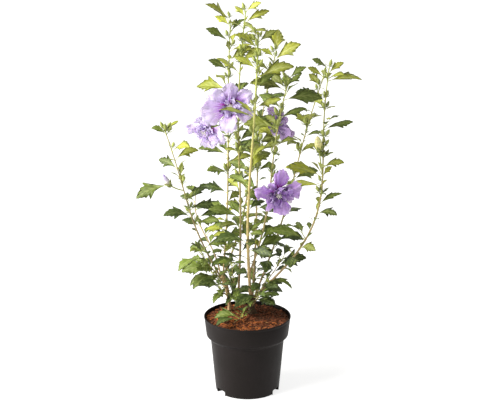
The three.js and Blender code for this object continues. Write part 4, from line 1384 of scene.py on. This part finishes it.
# Bumps on the soil. Each kind has its own slice of the noise.
LUMPS = SimpleNamespace(height=1.9, size=17, slice=3)
CRUMBS = SimpleNamespace(height=0.7, size=3.5, slice=8)
LIT_SIDE_EDGE = SimpleNamespace(x=-12, y=-38)  # painted light: bright bark lies only left of this or in front of it, on the lit side, and the right and back stay darker as painted shade


@dataclass(frozen=True)
class Chip:
    """A kind of bark: its shape in millimetres, and how it is strewn."""

    name: str
    rings: int
    length: float
    width: float
    thick: float
    bend: float
    number: int  # to a square metre
    smallest: float  # scale
    tilt: float
    lit_side: bool  # it lies only on the lit side of the soil, as painted light


CHIPS = [
    Chip("orange_sliver", 5, 38, 2.6, 1.0, 4.0, 10500, 0.4, 12, True),
    Chip("brown_sliver", 5, 30, 1.9, 1.0, 3.5, 7500, 0.4, 16, False),
    Chip("pale_sliver", 4, 26, 1.3, 0.7, 2.0, 2300, 0.4, 14, True),
    Chip("orange_flake", 3, 11, 6.5, 1.5, 0.6, 5000, 0.35, 26, True),
    Chip("brown_flake", 3, 13, 7.5, 1.8, 0.8, 14000, 0.35, 28, False),
    Chip("dark_crumb", 2, 5, 4.0, 3.0, 0.2, 28000, 0.35, 60, False),
]
CHIP_SEED = 600
CHIP_ROOM = 0.42  # of a chip's length, from its middle to the edge of the bed
RAGGED = SimpleNamespace(ends=0.64, taper=(0.55, 0.45), width=(0.6, 1.2), thick=(0.6, 1.3), lift=0.3)


def bed_edge():
    """The radius at which the soil meets the inside of the collar."""
    climb = (SOIL.edge_height - COLLAR_FOOT) / POT.collar_height
    return between((POT.collar_foot_radius, POT.rim_radius), climb) - POT.wall - BED.clear


def bumps(kind, x, y):
    return kind.height * noise.noise(Vector((x / kind.size, y / kind.size, kind.slice)))


def bed_height(x, y):
    """The height of the soil at a place: level in the middle, lower at the edge, lumpy all over."""
    radius = math.hypot(x, y)
    fall = max(0, (radius - SOIL.flat_radius) / (bed_edge() - SOIL.flat_radius))
    base = between((GROUND, SOIL.edge_height), fall**BED.fall) - BED.sunk
    lumps = bumps(LUMPS, x, y) + bumps(CRUMBS, x, y)
    stump = math.hypot(x - STEMS[0].start[0], y - STEMS[0].start[1])
    return base + lumps + BED.mound * math.exp(-((stump / BED.mound_reach) ** 2))


def lit_side_part(points, faces):
    """The part of the soil's top on its lit side, where the bright bark lies as painted light."""
    lit_side = (points[:, 0] < LIT_SIDE_EDGE.x) | (points[:, 1] < LIT_SIDE_EDGE.y)
    return points, [face for face in faces if lit_side[face[0]]]


def bed_top(inside=0):
    """The points and faces of the soil's lumpy top, as rings round its middle, so far inside its edge."""
    radii = (bed_edge() - inside) * np.linspace(0, 1, BED.rings + 1)[1:]
    flat = [(r * math.cos(a), r * math.sin(a)) for r in radii for a in ring_angles(BED.facets)]
    points = [(x, y, bed_height(x, y)) for x, y in flat] + [(0, 0, bed_height(0, 0))]
    faces = [face[::-1] for face in ring_faces(BED.rings, BED.facets)]
    middle = len(points) - 1
    faces += [(middle, k, (k + 1) % BED.facets) for k in range(BED.facets)]
    return np.array(points), faces


def build_bed(earth):
    """The root ball: the soil's top, and its side and foot inside the pot, clear of the notches."""
    points, faces = bed_top()
    gap, floor = POT.wall + BED.clear, POT.floor + BED.over_floor
    inner = POT.base_radius - POT.wall - NOTCH.depth - NOTCH.roof - 1
    side = [
        (POT.collar_foot_radius - gap, COLLAR_FOOT + 2), (POT.body_radius - gap, COLLAR_FOOT - POT.shoulder),
        (POT.base_radius - gap + 1, NOTCH.height + 5), (inner, NOTCH.height + 4), (inner, floor),
    ]  # fmt: skip
    edge, first = (BED.rings - 1) * BED.facets, len(points)
    starts = [edge] + [first + i * BED.facets for i in range(len(side))]
    foot = first + len(side) * BED.facets
    points = np.vstack([points, *(level_ring(*row, BED.facets) for row in side), [[0, 0, floor]]])
    after = [(k + 1) % BED.facets for k in range(BED.facets)]
    for upper, lower in zip(starts, starts[1:]):
        faces += [(upper + k, lower + k, lower + n, upper + n) for k, n in enumerate(after)]
    faces += [(foot, starts[-1] + n, starts[-1] + k) for k, n in enumerate(after)]
    skin = Skin()
    skin.add(points, faces)
    return skin.piece("soil", [earth])


def chip_shape(chip, seed):
    """One piece of bark lying along X: a bent, ragged bar of four-cornered rings."""
    draw = seeded(seed)
    points = []
    for i in range(chip.rings):
        share = i / (chip.rings - 1)
        bow = math.sin(math.pi * share)
        narrow = RAGGED.taper[0] + RAGGED.taper[1] * bow
        for way_y, way_z in ((-1, -1), (1, -1), (1, 1), (-1, 1)):
            points.append((
                chip.length * (share - 0.5) + RAGGED.ends * chip.length / chip.rings * (draw() - 0.5),
                chip.bend * bow + way_y * chip.width / 2 * narrow * between(RAGGED.width, draw()),
                way_z * chip.thick / 2 * between(RAGGED.thick, draw()) + chip.thick * RAGGED.lift * share,
            ))  # fmt: skip
    ends = [(3, 2, 1, 0), tuple(range(4 * chip.rings - 4, 4 * chip.rings))]
    return loose_object(chip.name, np.array(points), ring_faces(chip.rings, 4) + ends)


def scatter_tree():
    """Geometry Nodes that lay copies of a shape all over a surface, tilted and turned by chance."""
    tree = bpy.data.node_groups.new("scatter_bark", "GeometryNodeTree")
    tree.interface.new_socket("Geometry", in_out="INPUT", socket_type="NodeSocketGeometry")
    kinds = {
        "Shape": "Object", "Finish": "Material", "Number": "Float",
        "Smallest": "Float", "Tilt": "Float", "Seed": "Int",
    }  # fmt: skip
    sockets = {}
    for name, kind in kinds.items():
        socket = tree.interface.new_socket(name, in_out="INPUT", socket_type="NodeSocket" + kind)
        sockets[name] = socket.identifier
    tree.interface.new_socket("Geometry", in_out="OUTPUT", socket_type="NodeSocketGeometry")
    nodes = Wiring(tree)
    add, given = nodes.add, nodes.add("NodeGroupInput").outputs
    spread = add(
        "GeometryNodeDistributePointsOnFaces",
        {"Mesh": given["Geometry"], "Density": given["Number"], "Seed": given["Seed"]},
    )
    shape = add("GeometryNodeObjectInfo", {"Object": given["Shape"]})
    back = nodes.math("MULTIPLY", given["Tilt"], -1.0)
    least = add("ShaderNodeCombineXYZ", {"X": back, "Y": back, "Z": 0.0})
    most = add("ShaderNodeCombineXYZ", {"X": given["Tilt"], "Y": given["Tilt"], "Z": 2 * math.pi})
    turn = add(
        "FunctionNodeRandomValue",
        {"Min": least.outputs[0], "Max": most.outputs[0], "Seed": given["Seed"]},
        data_type="FLOAT_VECTOR",
    )
    other_seed = nodes.math("ADD", given["Seed"], 1.0)
    size = add("FunctionNodeRandomValue", {2: given["Smallest"], 3: 1.0, "Seed": other_seed})
    rotation = add("FunctionNodeEulerToRotation", {"Euler": turn.outputs["Value"]})
    placed = add(
        "GeometryNodeInstanceOnPoints",
        {
            "Points": spread.outputs["Points"], "Instance": shape.outputs["Geometry"],
            "Rotation": rotation.outputs[0], "Scale": size.outputs[1],
        },
    )  # fmt: skip
    real = add("GeometryNodeRealizeInstances", {"Geometry": placed.outputs[0]})
    finished = add("GeometryNodeSetMaterial", {"Geometry": real.outputs[0], "Material": given["Finish"]})
    add("NodeGroupOutput", {"Geometry": finished.outputs[0]})
    return tree, sockets


def build_mulch(finishes):
    """The bark mulch: each kind of chip scattered over the soil, and all of them one mesh."""
    tree, sockets = scatter_tree()
    layers = []
    for seed, chip in enumerate(CHIPS):
        shape = chip_shape(chip, CHIP_SEED + seed)
        bed = bed_top(CHIP_ROOM * chip.length)
        # Bright chips lie only on the lit side of the soil: painted light, which leaves the right and back
        # darker as painted shade.
        layer = loose_object("layer_" + chip.name, *(lit_side_part(*bed) if chip.lit_side else bed))
        modifier = layer.modifiers.new("scatter", "NODES")
        modifier.node_group = tree
        inputs = {
            "Shape": shape, "Finish": finishes[chip.name.split("_")[0]], "Number": float(chip.number),
            "Smallest": chip.smallest, "Tilt": chip.tilt * DEGREE, "Seed": 10 * seed,
        }  # fmt: skip
        for name, value in inputs.items():
            modifier[sockets[name]] = value
        layers.append(applied(layer))
        bpy.data.objects.remove(shape)
    with bpy.context.temp_override(active_object=layers[0], selected_editable_objects=layers):
        bpy.ops.object.join()
    layers[0].name = "bark_mulch"
    return layers[0]


# ---------------------------------------------------------------- finishes


def colour(code):
    """A linear colour from a six-digit code of an sRGB one."""
    parts = [int(code[i : i + 2], 16) / 255 for i in (1, 3, 5)]
    return (*(p / 12.92 if p <= 0.04045 else ((p + 0.055) / 1.055) ** 2.4 for p in parts), 1)


def shader_group(name, inputs, outputs, build):
    """A shader node group with named sockets, built once."""
    tree = bpy.data.node_groups.new(name, "ShaderNodeTree")
    for way, sockets in (("INPUT", inputs), ("OUTPUT", outputs)):
        for socket_name, kind in sockets.items():
            tree.interface.new_socket(socket_name, in_out=way, socket_type="NodeSocket" + kind)
    nodes = Wiring(tree)
    given = nodes.add("NodeGroupInput").outputs
    nodes.add("NodeGroupOutput", build(nodes, given))
    return tree


def build_mottle(nodes, given):
    """A colour with cloudy patches of another one."""
    place = nodes.add("ShaderNodeTexCoord").outputs["Object"]
    cloud = nodes.noise(place, given["Scale"], detail=4.0, roughness=0.6)
    share = nodes.carried(cloud, (0.38, 0.64), (0.0, given["Amount"]))
    return {"Colour": nodes.mixed(share, given["Colour"], given["Patches"])}


def build_grain(nodes, given):
    """Fine relief in object space, stretched along Z."""
    place = nodes.add("ShaderNodeTexCoord").outputs["Object"]
    squeeze = nodes.add("ShaderNodeCombineXYZ", {"X": 1.0, "Y": 1.0, "Z": given["Stretch"]})
    stretched = nodes.times(place, squeeze.outputs[0])
    return {"Height": nodes.noise(stretched, given["Scale"], detail=5.0, roughness=0.65)}


def build_marks(nodes, given):
    """A point's marks as three numbers, and its first colour scaled by the third."""
    marks = nodes.add("ShaderNodeAttribute", attribute_name="marks").outputs["Vector"]
    first, second, third = nodes.add("ShaderNodeSeparateXYZ", {0: marks}).outputs
    tone = nodes.carried(third, (0.0, 1.0), (given["Darkest"], given["Lightest"]))
    return {"First": first, "Second": second, "Colour": nodes.scaled(given["Colour"], tone)}


MOTTLE = shader_group(
    "mottle", {"Colour": "Color", "Patches": "Color", "Scale": "Float", "Amount": "Float"},
    {"Colour": "Color"}, build_mottle,
)  # fmt: skip
GRAIN = shader_group("grain", {"Scale": "Float", "Stretch": "Float"}, {"Height": "Float"}, build_grain)
MARKS = shader_group(
    "marks", {"Colour": "Color", "Darkest": "Float", "Lightest": "Float"},
    {"First": "Float", "Second": "Float", "Colour": "Color"}, build_marks,
)  # fmt: skip


class Finish(Wiring):
    """A material with its shader, which is coloured and given relief by its nodes."""

    def __init__(self, name, roughness, **constants):
        self.material = bpy.data.materials.new(name)
        self.material.use_nodes = True
        super().__init__(self.material.node_tree)
        self.tree.nodes.clear()
        values = {key.replace("_", " "): value for key, value in constants.items()}
        self.shader = self.add("ShaderNodeBsdfPrincipled", {"Roughness": roughness, **values})
        self.add("ShaderNodeOutputMaterial", {"Surface": self.shader.outputs[0]})

    def drive(self, name, socket):
        """The shader's named value comes from a node."""
        self.tree.links.new(socket, self.shader.inputs[name])

    def relief(self, height, strength, distance):
        bump = self.add("ShaderNodeBump", {"Height": height, "Strength": strength, "Distance": distance})
        self.drive("Normal", bump.outputs[0])

    def mottled(self, base, patches, scale, amount):
        shades = {"Colour": colour(base), "Patches": colour(patches), "Scale": scale, "Amount": amount}
        return self.group(MOTTLE, shades)["Colour"]

    def grain(self, scale, stretch=1.0):
        return self.group(GRAIN, {"Scale": scale, "Stretch": stretch})["Height"]

    def marks(self, tones, base=(1, 1, 1, 1)):
        """The marks of a point, and a base colour that its tone makes darker or lighter."""
        return self.group(MARKS, {"Colour": base, "Darkest": tones[0], "Lightest": tones[1]})

    def ramp(self, value, stops):
        """A colour from (place, colour code) stops."""
        node = self.add("ShaderNodeValToRGB", {0: value})
        elements = node.color_ramp.elements
        for i, (place, code) in enumerate(stops):
            stop = elements[i] if i < 2 else elements.new(place)
            stop.position = place
            stop.color = colour(code)
        return node.outputs[0]


def leaf_finish(name, base, patches, veins, roughness, tones=(0.64, 1.16)):
    """A leaf's face: mottled green, paler along its veins."""
    finish = Finish(name, roughness, Specular_IOR_Level=0.35)
    marks = finish.marks(tones, finish.mottled(base, patches, scale=60.0, amount=0.75))
    line = finish.carried(marks["First"], (0.7, 1.0), (0.0, 0.55))
    finish.drive("Base Color", finish.mixed(line, marks["Colour"], colour(veins)))
    finish.relief(finish.grain(scale=420.0), strength=0.25, distance=0.0006)
    return finish.material


def petal_finish(name, stops, roughness=0.6, streak=0.2, tones=(0.88, 1.06)):
    """A petal's face: its colours run from the claw to the margin, bleeding outwards in streaks."""
    finish = Finish(
        name, roughness, Specular_IOR_Level=0.2, Sheen_Weight=0.05,
        Subsurface_Weight=0.6, Subsurface_Scale=0.006, Subsurface_Radius=(1, 0.8, 1),
    )  # fmt: skip
    marks = finish.marks(tones)
    place = finish.add("ShaderNodeCombineXYZ", {"X": marks["First"], "Y": marks["Second"], "Z": 0.0})
    lines = finish.times(place.outputs[0], (7.0, 1.3, 1.0))
    shift = finish.carried(finish.noise(lines, 2.2, detail=3.0), (0.25, 0.75), (-streak, streak))
    lean = finish.carried(marks["Colour"], tones, (-0.12, 0.08))
    along = finish.math("ADD", finish.math("ADD", marks["Second"], shift), lean)
    veins = finish.noise(lines, 6.5, detail=2.0)
    depth = finish.carried(veins, (0.35, 0.6), (0.84, 1.03))
    veined = finish.scaled(finish.ramp(along, stops), depth)
    finish.drive("Base Color", finish.times(veined, marks["Colour"]))
    finish.relief(veins, strength=0.4, distance=0.0012)
    return finish.material


def wood_finish(name, roughness, scale, stretch, strength, stops):
    """Bark or the skin of a cane: its colour runs with how green it is, over a streaky grain, and is darker
    down the bark's fissures as painted shade.
    """
    finish = Finish(name, roughness, Specular_IOR_Level=0.3)
    marks = finish.marks((0.85, 2.2))
    grain = finish.grain(scale, stretch)
    green = finish.math("ADD", marks["First"], finish.carried(grain, (0.3, 0.7), (-0.09, 0.09)))
    # Painted shade: the colour is darker where the bark lies low in its fissures.
    proud = finish.carried(marks["Second"], (-1.2, 0.5), (0.45, 1.12))
    shaded = finish.scaled(finish.ramp(green, stops), proud)
    finish.drive("Base Color", finish.times(shaded, marks["Colour"]))
    finish.relief(grain, strength, distance=0.0009)
    return finish.material


def bark_chip_finish(name, base, patches):
    """Shredded bark: rough, fibrous and patchy."""
    finish = Finish(name, 0.88, Specular_IOR_Level=0.2)
    finish.drive("Base Color", finish.mottled(base, patches, scale=130.0, amount=0.85))
    finish.relief(finish.grain(scale=700.0), strength=0.7, distance=0.001)
    return finish.material


def plastic_finish():
    """Black moulded plastic, a little dusty, with a finely grained skin."""
    finish = Finish("black_plastic", 0.46, Specular_IOR_Level=0.1)
    finish.drive("Base Color", finish.mottled("#1a1614", "#1e1918", scale=14.0, amount=0.8))
    worn = finish.grain(scale=45.0, stretch=0.35)
    finish.drive("Roughness", finish.carried(worn, (0.3, 0.7), (0.42, 0.54)))
    finish.relief(finish.grain(scale=900.0), strength=0.12, distance=0.0004)
    return finish.material


# Upper faces of the leaves by spray: (name, colour, patches, veins).
LEAF_TOPS = [
    ("leaf_lime", "#bdc045", "#aab03c", "#d4d684"),
    ("leaf_spring", "#a0a63a", "#8f9633", "#c2c670"),
    ("leaf_green", "#6d7c30", "#5f6f2a", "#99a15c"),
    ("leaf_deep", "#4a5a23", "#3e4e1f", "#75824a"),
    ("leaf_olive", "#7a8230", "#6b742a", "#a5aa62"),
]
LEAF_BACKS = [
    ("leaf_back_pale", "#9aa055", "#8c954b", "#bcc088"),
    ("leaf_back_green", "#7a8743", "#6d7b3b", "#a3ab72"),
]
PALE_BACKED = (0, 1, 4)  # the upper faces that have the pale back
YOUNG_LIFT = 130  # a young leaf is as light as a grown one so much higher up
BELOW_ONE = 0.999  # keeps every chance inside the last colour's share
# Chances of each upper colour at heights up the plant.
SPRAYS = [
    (300, (0, 0, 0.42, 0.52, 0.06)),
    (520, (0, 0.17, 0.47, 0.24, 0.12)),
    (750, (0.08, 0.36, 0.38, 0.06, 0.12)),
    (960, (0.48, 0.5, 0, 0, 0.02)),
]


def spray_colours(height, chance):
    """Which upper and lower colour a spray at a height takes."""
    heights = [row[0] for row in SPRAYS]
    shares = [np.interp(height, heights, [row[1][k] for row in SPRAYS]) for k in range(len(LEAF_TOPS))]
    upper = int(np.searchsorted(np.cumsum(shares) / sum(shares), chance * BELOW_ONE))
    return upper, len(LEAF_TOPS) + (0 if upper in PALE_BACKED else 1)


# ---------------------------------------------------------------- the pieces

LEAF_PIECES = {
    "leaves_foot": [shoot.name for shoot in SHOOTS],
    "leaves_left": ["far_left", "left_inner", "left_tall", "back"],
    "leaves_middle": ["tallest", "front"],
    "leaves_right": ["front_right", "back_right", "right_back", "far_right"],
}
# The colours of petals from the claw to the margin, as (place, colour) stops.
PETAL_COATS = {
    "petal_pale": (
        (0, "#7d0f46"), (0.22, "#8e1a5a"), (0.31, "#9650c2"),
        (0.46, "#c39ee6"), (0.75, "#d9c2f5"), (1, "#d4c0f7"),
    ),
    "petal_pale_back": ((0, "#b49acb"), (0.3, "#b79fda"), (1, "#c8b4e6")),
    "petal_deep": (
        (0, "#6d0c42"), (0.22, "#7c1458"), (0.32, "#672892"),
        (0.5, "#8451b0"), (0.75, "#9a71c0"), (1, "#b894dd"),
    ),
    "petal_deep_back": ((0, "#7a5c88"), (0.3, "#7d6394"), (1, "#8f74a6")),
    "bud_cream": ((0, "#b9c26a"), (0.4, "#dcd88a"), (0.75, "#ece6ab"), (1, "#e9e0a4")),
    "bud_lilac": ((0, "#c9cf96"), (0.45, "#d9d3d6"), (0.8, "#c3b6e0"), (1, "#a99bd2")),
}  # fmt: skip
COAT = {name: number for number, name in enumerate(PETAL_COATS)}
FILAMENT_COLOURS = ((0, "#e6dfd0"), (1, "#f2ecdc"))
ANTHER_COLOURS = ((0, "#e9dfa8"), (1, "#f4efd0"))
# Woody finishes, from the old stems to the stalks. Their colours run from brown wood to green.
WOODS = {
    "old_bark": dict(
        roughness=0.85, scale=240.0, stretch=0.3, strength=0.6,
        stops=((0, "#4b3a2a"), (0.08, "#6d583c"), (0.3, "#8d7a53"), (1, "#98a650")),
    ),
    "young_bark": dict(
        roughness=0.7, scale=260.0, stretch=0.25, strength=0.5,
        stops=((0, "#7d6648"), (0.1, "#968059"), (0.3, "#9b8c60"), (0.6, "#a09b62"), (1, "#a0a85c")),
    ),
    "cane_skin": dict(
        roughness=0.55, scale=300.0, stretch=0.2, strength=0.35,
        stops=((0, "#8c7852"), (0.25, "#99875b"), (0.5, "#a3965f"), (0.75, "#a6a35f"), (1, "#a5b257")),
    ),
    "stalk_skin": dict(
        roughness=0.55, scale=300.0, stretch=0.2, strength=0.2,
        stops=((0, "#8f9a4f"), (0.5, "#9da452"), (1, "#abb457")),
    ),
}  # fmt: skip
# Kinds of bark, by the first word of a chip's name: (name, colour, patches).
CHIP_COLOURS = {
    "orange": ("orange_bark", "#c07036", "#a05a30"),
    "brown": ("brown_bark", "#814c30", "#623724"),
    "pale": ("pale_wood", "#cf9b66", "#b47a48"),
    "dark": ("dark_bark", "#542d1d", "#3f2014"),
}
# Seeds of the streams that finish the leaves, the flowers and the closed buds.
LEAF_SEED, FLOWER_SEED, BUD_SEED = 2000, 3000, 4000


def leaf_skin(masses):
    skin = Skin()
    for grown in masses:
        draw = seeded(LEAF_SEED + grown.limb.seed)
        chances = [draw() for _ in range(len(grown.limb.leaves + grown.limb.crown))]
        for leaf in grown.leaves:
            height = leaf.root[2] + (YOUNG_LIFT if leaf.young else 0)
            add_leaf(skin, leaf, draw, *spray_colours(height, chances[leaf.node]))
    return skin


def flower_skins(masses):
    """The petals, the green parts behind them with the closed buds, and the stamens."""
    petals_skin, green_skin, heart_skin = Skin(), Skin(), Skin()
    for bloom in BLOOMS:
        draw = seeded(FLOWER_SEED + bloom.seed)
        petals = petals_of(bloom)
        coats = (COAT["petal_" + bloom.tint], COAT["petal_" + bloom.tint + "_back"])
        for petal in petals.outer + extra_petals(petals, MIDDLE, draw):
            add_petal(petals_skin, petal, BROAD, draw, coats)
        for petal in petals.inner + extra_petals(petals, HEART, draw):
            add_petal(petals_skin, petal, NARROW, draw, coats)
        add_heart(heart_skin, petals, draw)
        foot = petals.centre - CALYX.behind * petals.faces
        add_calyx(green_skin, foot, petals.faces, CALYX.length, CALYX.foot, draw)
    for bud in LARGE_BUDS:
        add_large_bud(petals_skin, green_skin, bud, seeded(FLOWER_SEED + bud.seed), COAT["bud_" + bud.tint])
    draw = seeded(BUD_SEED)
    for grown in masses:
        for bud in grown.buds:
            add_bud(green_skin, bud, draw)
    return petals_skin, green_skin, heart_skin


def attach(piece, slot_name, *nodes):
    """The piece rides on the plant's one body, and the nodes that it replaces are hidden. Its slot name is
    not used.
    """
    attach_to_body(piece, "root")
    if nodes:
        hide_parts(*nodes)


def build_wood(masses):
    """Everything woody or stalky, from the stems to the stalks of the leaves."""
    old_bark, young_bark, cane_skin, stalk_skin = (wood_finish(name, **row) for name, row in WOODS.items())
    stems = [stem.name for stem in STEMS]
    boughs = ["bough_" + cane.name for cane in CANES]
    attach(stem_bark().piece("stems_in_bark", [old_bark, young_bark]), "stem", *stems)
    attach(bough_bark().piece("boughs_in_bark", [young_bark]), "bough", *boughs)
    attach(leafy_stems(masses).piece("leafy_canes", [cane_skin]), "foliage")
    attach(twigs_and_stalks(masses).piece("twigs_and_stalks", [stalk_skin]), "foliage")


def build_leaves(masses):
    """The leaves, in four pieces, each of which stands for the masses that its leaves belong to."""
    tops = [leaf_finish(*row, roughness=0.5) for row in LEAF_TOPS]
    backs = [leaf_finish(*row, roughness=0.7, tones=(0.9, 1.1)) for row in LEAF_BACKS]
    for name, limbs in LEAF_PIECES.items():
        chosen = [grown for grown in masses if grown.limb.name in limbs]
        attach(leaf_skin(chosen).piece(name, tops + backs), "foliage", *(grown.mass for grown in chosen))


def build_flowers(masses):
    """Blooms and buds: the petals, the green parts and the stamens."""
    petals, greens, hearts = flower_skins(masses)
    coats = [petal_finish(name, stops) for name, stops in PETAL_COATS.items()]
    attach(petals.piece("petals", coats), "foliage")
    bud_green = leaf_finish("bud_green", "#a0a858", "#8f9a4d", "#bcc27c", roughness=0.5)
    bract_green = leaf_finish("bract_green", "#8f9b4b", "#7f8c43", "#a9b166", roughness=0.55)
    attach(greens.piece("buds_and_calyces", [bud_green, bract_green]), "foliage")
    filament = petal_finish("filament_cream", FILAMENT_COLOURS, roughness=0.5, streak=0.1)
    anther = petal_finish("anther_cream", ANTHER_COLOURS, roughness=0.7, streak=0.1)
    attach(hearts.piece("stamens", [filament, anther]), "foliage")


def build_plant():
    masses = grow_plant()
    for grown in masses:
        grow_tufts(grown)
    build_wood(masses)
    build_leaves(masses)
    build_flowers(masses)


def build_pot_and_bed():
    attach(build_pot(plastic_finish()), "pot", "pot")
    attach(build_bed(bark_chip_finish("dark_earth", "#47301f", "#633f29")), "soil", "root_ball")
    finishes = {kind: bark_chip_finish(*row) for kind, row in CHIP_COLOURS.items()}
    attach(build_mulch(finishes), "soil")


# ---------------------------------------------------------------- floor, light and camera

# Places and reaches in metres and angles in degrees. The camera's sensor is in millimetres.
CAMERA = SimpleNamespace(place=(0.0066, -3.0, 1.3117), pitch=15.17, focal_px=1257, width_px=500, sensor=36)
FLOOR_REACH = 60
SUN = SimpleNamespace(power=3.8, spread=26, tint=(1, 0.99, 0.97), points=(0.85, 0.5, -0.8))
SKY_STRENGTH = 0.37


def floor_finish():
    glow = {"Emission_Color": (1, 1, 1, 1), "Emission_Strength": 0.78}
    finish = Finish("pale_floor", 0.9, Specular_IOR_Level=0.1, **glow)
    finish.drive("Base Color", finish.mottled("#abaaa9", "#a7a6a5", scale=1.5, amount=0.6))
    return finish.material


def build_floor():
    floor = bpy.data.meshes.new("floor")
    corners = [(FLOOR_REACH * x, FLOOR_REACH * y, 0) for x, y in ((-1, -1), (1, -1), (1, 1), (-1, 1))]
    floor.from_pydata(corners, [], [(0, 1, 2, 3)])
    floor.materials.append(floor_finish())
    in_scene("floor", floor)


def aim(made, direction):
    """A light turned so that it shines along a direction."""
    made.rotation_euler = Vector(direction).to_track_quat("-Z", "Y").to_euler()


def soft_light(name, place, target, size, power):
    lamp = bpy.data.lights.new(name, "AREA")
    lamp.shape = "DISK"
    lamp.size = size
    lamp.energy = power
    made = in_scene(name, lamp)
    made.location = place
    aim(made, Vector(target) - Vector(place))


def build_light():
    """A broad sun from the upper left, soft lights on the left and behind, and a white sky."""
    world = bpy.data.worlds.new("studio")
    world.use_nodes = True
    background = world.node_tree.nodes["Background"]
    background.inputs["Color"].default_value = (1, 1, 1, 1)
    background.inputs["Strength"].default_value = SKY_STRENGTH
    bpy.context.scene.world = world
    sun = bpy.data.lights.new("key", "SUN")
    sun.energy = SUN.power
    sun.angle = SUN.spread * DEGREE
    sun.color = SUN.tint
    aim(in_scene("key", sun), SUN.points)
    soft_light("side", place=(-2.3, -0.35, 0.9), target=(0, 0, 0.2), size=1.3, power=58)
    soft_light("back", place=(0.8, 2.6, 2.4), target=(0, 0, 0.7), size=1.4, power=14)


def build_camera():
    camera = bpy.data.cameras.new("camera")
    camera.sensor_fit = "HORIZONTAL"
    camera.sensor_width = CAMERA.sensor
    camera.lens = CAMERA.focal_px / CAMERA.width_px * CAMERA.sensor
    made = in_scene("camera", camera)
    made.location = CAMERA.place
    made.rotation_euler = ((90 - CAMERA.pitch) * DEGREE, 0, 0)
    bpy.context.scene.camera = made
    bpy.context.scene.view_settings.view_transform = "Standard"


build_floor()
build_light()
build_camera()
build_pot_and_bed()
build_plant()
